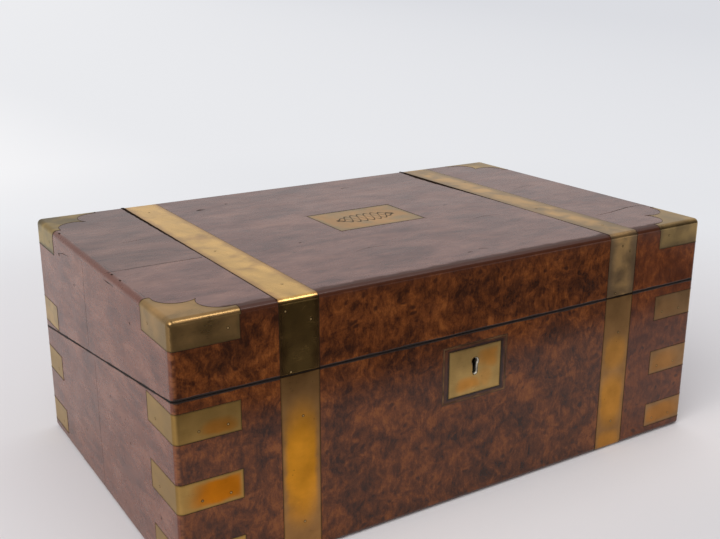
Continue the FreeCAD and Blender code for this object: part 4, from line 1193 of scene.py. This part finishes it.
    def pins(self) -> None:
        """Set the small brass pins, each in its dark ring, that hold the plates down."""
        case = self.case
        brass = PlainMetal("pin_brass", (0.50, 0.34, 0.14)).paint_all()
        strap = case.strap_middle
        top, front, back = Vector((0, 0, 1)), Vector((0, -1, 0)), Vector((0, 1, 0))
        lid, base = [], []
        for x, y in ((-126, 98), (-126.6, -18.7), (-122.1, -99.9), (133, 60.3), (121, -40), (127, -101)):
            lid.append((Vector((x * MM, y * MM, case.height)), top))
        for x, z in ((-166.9, 150.3), (168.9, 152), (-133, 153), (-117.2, 145.6), (123.5, 151), (131, 146.5)):
            lid.append((Vector((x * MM, -case.half_depth, z * MM)), front))
        for x, z in ((-130.3, 117), (120, 118)):
            lid.append((Vector((x * MM, -case.half_depth, z * MM)), front))
        for side in (-1, 1):
            end = Vector((side, 0, 0))
            lid.append((Vector((side * case.half_width, -0.094, 0.150)), end))
            lid.append((Vector((side * case.half_width, 0.094, 0.150)), end))
            lid.append((Vector((side * 0.168, case.half_depth, 0.150)), back))
            for z in (88.7, 21.0):
                base.append((Vector((side * strap + 1.4 * MM, -case.half_depth, z * MM)), front))
            for z in (60.0, 18.0):
                base.append((Vector((side * strap, case.half_depth, z * MM)), back))
            for row in range(3):
                z = case.corner_low + row * case.corner_pitch + 5.5 * MM
                for reach in (14 * MM, 31 * MM):
                    base.append((Vector((side * (case.half_width - reach), -case.half_depth, z)), front))
                base.append((Vector((side * case.half_width, -case.half_depth + 27 * MM, z)), end))
                if row < 2:
                    base.append((Vector((side * case.half_width, case.half_depth - 24 * MM, z)), end))
                    base.append((Vector((side * (case.half_width - 24 * MM), case.half_depth, z)), back))
        for body, places in (("base_case", base), ("lid_case", lid)):
            heads, rings = bmesh.new(), bmesh.new()
            for point, normal in places:
                put(heads, turned([(0.55 * MM, 0.0), (0.5 * MM, 0.07 * MM), (0.0, 0.12 * MM)], 10),
                    upright_on(point, normal))
                put(rings, turned([(0.85 * MM, 0.0), (0.6 * MM, 0.05 * MM), (0.52 * MM, 0.0)], 10),
                    upright_on(point, normal))
            keep(f"{body}_pin_heads", heads, brass, body, 70)
            keep(f"{body}_pin_rings", rings, self.pitch, body, 70)

    def keyhole_lip(self) -> None:
        """Line the keyhole with a flared lip, whose pale metal paints the highlight on the lit inner wall of the hole.
        """
        # Painted highlight: the lip's pale metal stands in for light falling on the keyhole's inner wall.
        bright = PlainMetal("keyhole_lip_highlight", (0.66, 0.61, 0.50), 0.38).paint_all()
        radius, slot_half, flare = 2.85 * MM, 1.95 * MM, 0.75 * MM
        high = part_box("escutcheon_plate")[1].z - 9.8 * MM
        low = high - 9.0 * MM + slot_half
        face, back = -self.case.half_depth - 0.03 * MM, 2.4 * MM
        meet = math.asin(slot_half / radius)
        form = bmesh.new()
        outline = []
        for step in range(19):
            turn = -math.pi / 2 + meet + step * (math.tau - 2 * meet) / 18
            outline.append(form.verts.new((radius * math.cos(turn), face, high + radius * math.sin(turn))))
        for step in range(9):
            turn = math.pi + step * math.pi / 8
            outline.append(form.verts.new((slot_half * math.cos(turn), face, low + slot_half * math.sin(turn))))
        hole = form.faces.new(outline)
        hole.normal_update()
        rim = form.edges[:]
        bmesh.ops.inset_region(form, faces=[hole], thickness=flare, use_boundary=True, use_even_offset=True)
        bmesh.ops.translate(form, verts=hole.verts, vec=(0, 0.9 * MM, 0))
        throat = hole.edges[:]
        bmesh.ops.delete(form, geom=[hole], context="FACES_ONLY")
        loops = []
        for edges, depth in ((rim, back), (throat, back - 0.9 * MM)):
            deep = bmesh.ops.extrude_edge_only(form, edges=edges)["geom"]
            moved = [item for item in deep if isinstance(item, bmesh.types.BMVert)]
            bmesh.ops.translate(form, verts=moved, vec=(0, depth, 0))
            loops += [item for item in deep if isinstance(item, bmesh.types.BMEdge) and len(item.link_faces) == 1]
        bmesh.ops.bridge_loops(form, edges=loops)
        keep("keyhole_lip", form, bright, "base_case", 50)

    def build(self) -> None:
        """Dress the brass and make its joint lines, pins and keyhole lip."""
        self.dress()
        self.joint_lines("base_joint_lines", self.BASE, "base_case")
        self.joint_lines("lid_joint_lines", self.LID, "lid_case")
        self.pins()
        self.keyhole_lip()


class Ironmongery:
    """Hinges, lock, link plate and catches, with their screws."""

    def __init__(self, case: Case) -> None:
        """Mix the finishes."""
        self.case = case
        self.brass = PlainMetal("works_brass", (0.62, 0.42, 0.17)).paint_all()
        self.steel = PlainMetal("works_steel", (0.34, 0.33, 0.32), 0.36).paint_all()

    def dress(self) -> None:
        """Dress the works."""
        dress(tuple(f"hinge_{part}_leaf_{side}" for part in ("base", "lid") for side in HINGES), self.brass)
        dress(("lock_case", "link_plate", "base_flap_pivots", "lid_flap_pivots"), self.brass)
        dress(("flap_catch_left", "flap_catch_right"), self.brass)
        dress(("hinge_pin_left", "hinge_pin_right", "lock_bolt"), self.steel)

    def screws(self) -> None:
        """Drive the slotted screws through the leaves, plates and catches."""
        case = self.case
        rim = case.rim()
        leaf_low, leaf_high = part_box("hinge_base_leaf_right")
        hinge_x = (leaf_low.x + leaf_high.x) / 2
        lock_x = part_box("link_plate")[1].x - 3.2 * MM
        plate_y = case.along_rim(-case.half_depth + 6.3 * MM)
        places = [(side * hinge_x + step * 17 * MM, -6.4 * MM, 1.9 * MM) for side in (-1, 1) for step in (-1, 0, 1)]
        places += [(side * lock_x, plate_y, 1.6 * MM) for side in (-1, 1)]
        for body, facing in (("base_case", 1), ("lid_case", -1)):
            form = bmesh.new()
            for number, (x, y, radius) in enumerate(places):
                level = -facing * (case.rim_drop - 0.02 * MM)
                turn = Matrix.Rotation(math.pi if facing < 0 else 0.0, 4, "X")
                spot = rim @ Matrix.Translation((x, y, level)) @ turn @ Matrix.Rotation(number * 0.9, 4, "Z")
                put(form, Screw(radius, crown=0.08 * MM).form(), spot)
            keep(f"{body}_screws", form, self.brass, body, 30)
        for side, name in ((-1, "left"), (1, "right")):
            low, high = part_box(f"flap_catch_{name}")
            joint = next(j for j in frame["joints"] if j["name"] == f"{name}_catch_turn")["pos_m"]
            local = rim.inverted() @ Vector(joint)
            spot = rim @ Matrix.Translation((local.x, local.y, 0.48 * MM)) @ Matrix.Rotation(math.pi, 4, "X")
            form = bmesh.new()
            put(form, Screw(1.7 * MM, crown=0.1 * MM).form(), spot)
            keep(f"catch_screw_{name}", form, self.steel, f"{name}_catch", 30)

    def build(self) -> None:
        """Dress the works and add the screws."""
        self.dress()
        self.screws()


class Fittings:
    """What the box holds: the writing flaps, the tray, the inkwells and the hidden drawers."""

    def __init__(self, case: Case) -> None:
        """Mix the finishes."""
        self.case = case
        self.mahogany = StraightWood("fitting_mahogany", (0.085, 0.026, 0.012), (0.22, 0.082, 0.036)).paint_all()
        self.cap_brass = PlainMetal("cap_brass", (0.70, 0.47, 0.19), 0.26).paint_all()

    def dress(self) -> None:
        """Dress the wood, leather and glass."""
        dress(FITTING_WOOD, self.mahogany)
        for node in ("base_flap_leather", "lid_flap_leather"):
            dress((node,), SkiverLeather(node + "_hide", node).paint_all())
        dress(("inkwell_left", "inkwell_right"), ClearGlass().paint_all())

    def cap(self, side: str) -> None:
        """Turn a domed inkwell cap in place of the plain one."""
        low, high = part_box(f"inkwell_cap_{side}")
        radius = (high.x - low.x) / 2
        tall = high.z - low.z
        centre = Vector(((low.x + high.x) / 2, (low.y + high.y) / 2, low.z))
        button = 3.0 * MM
        neck = 12.06 * MM
        dome = [(radius - 0.5 * MM, 0.36 * tall)]
        for step in range(1, 7):
            turn = math.radians(step * 14)
            dome.append((2.2 * MM + (radius - 3.4 * MM) * math.cos(turn), (0.36 + 0.27 * math.sin(turn)) * tall))
        profile = [(neck, 4 * MM), (neck, 0.2 * MM), (radius - 0.3 * MM, 0.0), (radius, 0.3 * MM)]
        profile += [(radius, 0.28 * tall), (radius - 0.6 * MM, 0.31 * tall), *dome]
        profile += [(1.6 * MM, 0.67 * tall), (1.7 * MM, 0.72 * tall), (button * 0.85, 0.78 * tall)]
        profile += [(button, 0.85 * tall), (button * 0.85, 0.93 * tall), (button * 0.45, 0.985 * tall)]
        profile = [(0.0, 4 * MM), *profile, (0.0, tall)]
        form = turned(profile, 40)
        bmesh.ops.translate(form, verts=form.verts, vec=centre)
        piece = keep(f"turned_cap_{side}", form, self.cap_brass, "base_case", 40)
        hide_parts(f"inkwell_cap_{side}")

    def ink(self, side: str) -> None:
        """Leave a little ink in the bottom of an inkwell's bore."""
        low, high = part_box(f"inkwell_{side}")
        dark = DarkFill(f"ink_{side}", (0.004, 0.005, 0.012), 0.08, 0.5).paint_all()
        bore = 8.4 * MM
        profile = [(0.0, 0.0), (bore, 0.0), (bore, 8 * MM), (bore - 1 * MM, 7.2 * MM), (0.0, 7 * MM)]
        form = turned(profile, 28)
        bmesh.ops.translate(form, verts=form.verts, vec=((low.x + high.x) / 2, (low.y + high.y) / 2, low.z + 5.05 * MM))
        keep(f"ink_{side}_pool", form, dark, "base_case", 40)

    def knob(self, side: str) -> None:
        """Turn a drawer's knob, with its rose, neck and domed head, in place of the plain one."""
        low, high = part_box(f"drawer_knob_{side}")
        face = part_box(f"drawer_{side}")[1].y
        radius = (high.x - low.x) / 2
        length = high.y - face
        profile = [(0.0, -7 * MM), (2 * MM, -7 * MM), (2 * MM, 0.0), (3.6 * MM, 0.0), (3.6 * MM, 0.7 * MM)]
        profile += [(2.6 * MM, 1.1 * MM), (1.9 * MM, 2.2 * MM), (2.1 * MM, 3.4 * MM)]
        for step in range(9):
            turn = math.radians(-60 + step * 18.75)
            profile.append((radius * math.cos(turn), length * (0.68 + 0.32 * math.sin(turn))))
        profile.append((0.0, length))
        form = turned(profile, 28)
        place = Vector(((low.x + high.x) / 2, face, (low.z + high.z) / 2))
        bmesh.ops.transform(form, matrix=upright_on(place, Vector((0, 1, 0))), verts=form.verts)
        piece = keep(f"turned_knob_{side}", form, self.cap_brass, f"{side}_drawer", 40)
        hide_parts(f"drawer_knob_{side}")

    def build(self) -> None:
        """Dress the fittings and turn the caps, ink and knobs."""
        self.dress()
        for side in HINGES:
            self.cap(side)
            self.ink(side)
            self.knob(side)


@dataclass(frozen=True)
class Viewpoint:
    """The photograph's camera, in the box frame."""

    place: Triple = (-0.3649, -0.5684, 0.3323)
    turn: float = math.radians(-32.17)
    dip: float = math.radians(17.29)
    roll: float = math.radians(0.07)
    lens: float = 49.14

    def build(self) -> None:
        """Make the camera and look through it."""
        data = bpy.data.cameras.new("viewpoint")
        data.sensor_fit = "HORIZONTAL"
        data.sensor_width = 36.0
        data.lens = self.lens
        data.clip_start = 0.02
        data.clip_end = 100.0
        camera = bpy.data.objects.new("viewpoint", data)
        aim = Matrix.Rotation(self.turn, 4, "Z") @ Matrix.Rotation(math.pi / 2 - self.dip, 4, "X")
        camera.matrix_world = Matrix.Translation(self.place) @ aim @ Matrix.Rotation(self.roll, 4, "Z")
        bpy.context.scene.collection.objects.link(camera)
        bpy.context.scene.camera = camera


@dataclass(frozen=True)
class Studio:
    """A pale floor that runs into a pale surround, dark in front, with soft lamps overhead and left."""

    # Painted light and shade in the floor colours: darker near the box, a brighter strip in front of it, and far off
    # brighter to the left and in a pool.
    floor_near: Colour = (0.80, 0.77, 0.77)
    floor_painted_bounce: Colour = (0.90, 0.855, 0.845)
    floor_far: Colour = (0.94, 0.94, 0.945)
    pool: Colour = (0.925, 0.92, 0.935)
    bright_side: Colour = (0.84, 0.845, 0.868)
    dull_side: Colour = (0.71, 0.72, 0.758)
    surround: Colour = (0.84, 0.85, 0.88)
    front: Colour = (0.035, 0.030, 0.026)
    ambient: float = 0.86
    behind: Colour = (0.75, 0.725, 0.72)
    flag_edge: float = -0.298

    def sheet(self, name: str, corners: tuple[float, float, float, float], level: float) -> bpy.types.Object:
        """Return a level rectangle that belongs to the studio.

        Args:
            name: Its name.
            corners: Lowest X, highest X, lowest Y and highest Y, in metres.
            level: Its height.
        """
        form = bmesh.new()
        bmesh.ops.create_grid(form, x_segments=2, y_segments=2, size=0.5)
        scale = Vector((corners[1] - corners[0], corners[3] - corners[2], 1.0))
        middle = Vector(((corners[0] + corners[1]) / 2, (corners[2] + corners[3]) / 2, level))
        bmesh.ops.scale(form, vec=scale, verts=form.verts)
        bmesh.ops.translate(form, vec=middle, verts=form.verts)
        mesh = bpy.data.meshes.new(name)
        form.to_mesh(mesh)
        form.free()
        sheet = bpy.data.objects.new(name, mesh)
        bpy.context.scene.collection.objects.link(sheet)
        return sheet

    def floor(self) -> None:
        """Lay the floor, which keeps the shadow near the box and glows pale far off, with painted shade near the box, a
        painted strip of light in front of it, and painted light far off that is brightest to the left and in a pool.
        """
        paint = Paint("studio_floor")
        x, y, _ = paint.place()
        faint = paint.noise((160.0, 160.0, 160.0), 3.0, 0.5)
        reach = x * x + y * y
        # Painted light: a brighter strip of floor colour just in front of the box.
        bounce = y.over(-250.0, -165.0) * y.under(-145.0, -105.0)
        near = paint.blend(bounce, self.floor_near, self.floor_painted_bounce)
        # Painted shade: the floor's colour is darker near the box and paler farther out.
        near = paint.blend((reach + (faint - 0.5) * 60000.0).over(200.0**2, 800.0**2), near, self.floor_far)
        # Painted light: far off the glowing floor is brighter to the left and darker to the right, and brighter still
        # in a wide pool round the box's left.
        far = paint.blend((x - y * 0.35).over(-1500.0, 3500.0), self.bright_side, self.dull_side)
        pool = reach.under(1200.0**2, 4000.0**2) * x.under(-150.0, 350.0)
        far = paint.blend(pool, far, self.pool)
        matt = paint.add("ShaderNodeBsdfDiffuse")
        paint.feed(matt.inputs[0], near)
        glow = paint.add("ShaderNodeEmission")
        paint.feed(glow.inputs[0], far)
        rays = paint.add("ShaderNodeLightPath")
        seen = Field(paint, rays.outputs["Is Camera Ray"]).most(Field(paint, rays.outputs["Is Glossy Ray"]))
        mix = paint.add("ShaderNodeMixShader")
        paint.feed(mix.inputs[0], seen * reach.over(420.0**2, 1150.0**2))
        paint.feed(mix.inputs[1], matt.outputs[0])
        paint.feed(mix.inputs[2], glow.outputs[0])
        output = paint.add("ShaderNodeOutputMaterial")
        paint.feed(output.inputs[0], mix.outputs[0])
        floor = self.sheet("studio_floor", (-40.0, 40.0, -40.0, 40.0), 0.0)
        floor.data.materials.append(paint.material)

    def flag(self) -> None:
        """Lay the dark card in front that only reflections see, as a photographer sets one."""
        paint = Paint("studio_flag")
        cloud = paint.noise((300.0, 300.0, 300.0))
        material = paint.finish(paint.tint(self.front, 0.8 + cloud * 0.4), 0.9)
        flag = self.sheet("studio_flag", (-3.0, 0.62, -4.0, self.flag_edge), 4 * MM)
        flag.data.materials.append(material)
        flag.visible_camera = False
        flag.visible_diffuse = False
        flag.visible_shadow = False
        flag.visible_transmission = False

    def world(self) -> None:
        """Surround the box with soft pale light. Reflections see it pale behind and dark in front."""
        world = bpy.data.worlds.new("surround")
        world.use_nodes = True
        tree = world.node_tree
        tree.nodes.clear()
        output = tree.nodes.new("ShaderNodeOutputWorld")
        lights = []
        for strength in (self.ambient, 1.0):
            light = tree.nodes.new("ShaderNodeBackground")
            light.inputs["Color"].default_value = (*self.surround, 1.0)
            light.inputs["Strength"].default_value = strength
            lights.append(light)
        coordinates = tree.nodes.new("ShaderNodeTexCoord")
        parts = tree.nodes.new("ShaderNodeSeparateXYZ")
        tree.links.new(coordinates.outputs["Generated"], parts.inputs[0])
        pale = tree.nodes.new("ShaderNodeMath")
        pale.operation = "MAXIMUM"
        for number, (axis, low, high, share) in enumerate((("Y", -0.35, 0.25, 1.0), ("Z", 0.15, 0.75, 0.4))):
            step = tree.nodes.new("ShaderNodeMapRange")
            step.interpolation_type = "SMOOTHSTEP"
            step.inputs[1].default_value = low
            step.inputs[2].default_value = high
            step.inputs[4].default_value = share
            tree.links.new(parts.outputs[axis], step.inputs[0])
            tree.links.new(step.outputs[0], pale.inputs[number])
        shade = tree.nodes.new("ShaderNodeMix")
        shade.data_type = "RGBA"
        shade.inputs[6].default_value = (*self.front, 1.0)
        shade.inputs[7].default_value = (*self.behind, 1.0)
        tree.links.new(pale.outputs[0], shade.inputs[0])
        tree.links.new(shade.outputs[2], lights[1].inputs["Color"])
        rays = tree.nodes.new("ShaderNodeLightPath")
        seen = rays.outputs["Is Camera Ray"]
        for kind in ("Is Glossy Ray", "Is Transmission Ray"):
            either = tree.nodes.new("ShaderNodeMath")
            either.operation = "MAXIMUM"
            tree.links.new(seen, either.inputs[0])
            tree.links.new(rays.outputs[kind], either.inputs[1])
            seen = either.outputs[0]
        mix = tree.nodes.new("ShaderNodeMixShader")
        tree.links.new(seen, mix.inputs[0])
        for slot, light in zip(mix.inputs[1:], lights):
            tree.links.new(light.outputs[0], slot)
        tree.links.new(mix.outputs[0], output.inputs[0])
        bpy.context.scene.world = world

    def lamp(self, name: str, place: Triple, size: tuple[float, float], power: float) -> bpy.types.Object:
        """Hang a soft lamp that looks at the middle of the box, and return it.

        Args:
            name: Its name.
            place: Where it hangs, in metres.
            size: Its width and height.
            power: Its power in watts.
        """
        data = bpy.data.lights.new(name, "AREA")
        data.shape = "RECTANGLE"
        data.size, data.size_y = size
        data.energy = power
        lamp = bpy.data.objects.new(name, data)
        away = Vector((0, 0, 0.08)) - Vector(place)
        lamp.matrix_world = Matrix.Translation(place) @ away.to_track_quat("-Z", "Y").to_matrix().to_4x4()
        bpy.context.scene.collection.objects.link(lamp)
        return lamp

    def build(self) -> None:
        """Set the floor, the flag, the surround and the lamps."""
        self.floor()
        self.flag()
        self.world()
        self.lamp("key_lamp", (-1.15, -0.7, 1.3), (1.1, 1.1), 13.0)
        edge_lamp = self.lamp("edge_lamp", (0.65, -0.52, 1.5), (0.9, 0.45), 6.0)
        edge_lamp.visible_diffuse = False
        scene = bpy.context.scene
        scene.view_settings.view_transform = "Standard"


def main() -> None:
    """Build the dressed box and its studio."""
    logging.basicConfig(level=logging.INFO, format="%(name)s: %(message)s")
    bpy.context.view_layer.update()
    case = Case.from_frame()
    Viewpoint().build()
    dress(CASE_WOOD, CarcassWalnut(case).paint_all())
    for assembly in (Scars(case), BrassInlay(case), Ironmongery(case), Fittings(case), Studio()):
        assembly.build()
        LOG.info("%s finished", type(assembly).__name__)


if __name__ == "__main__":
    main()
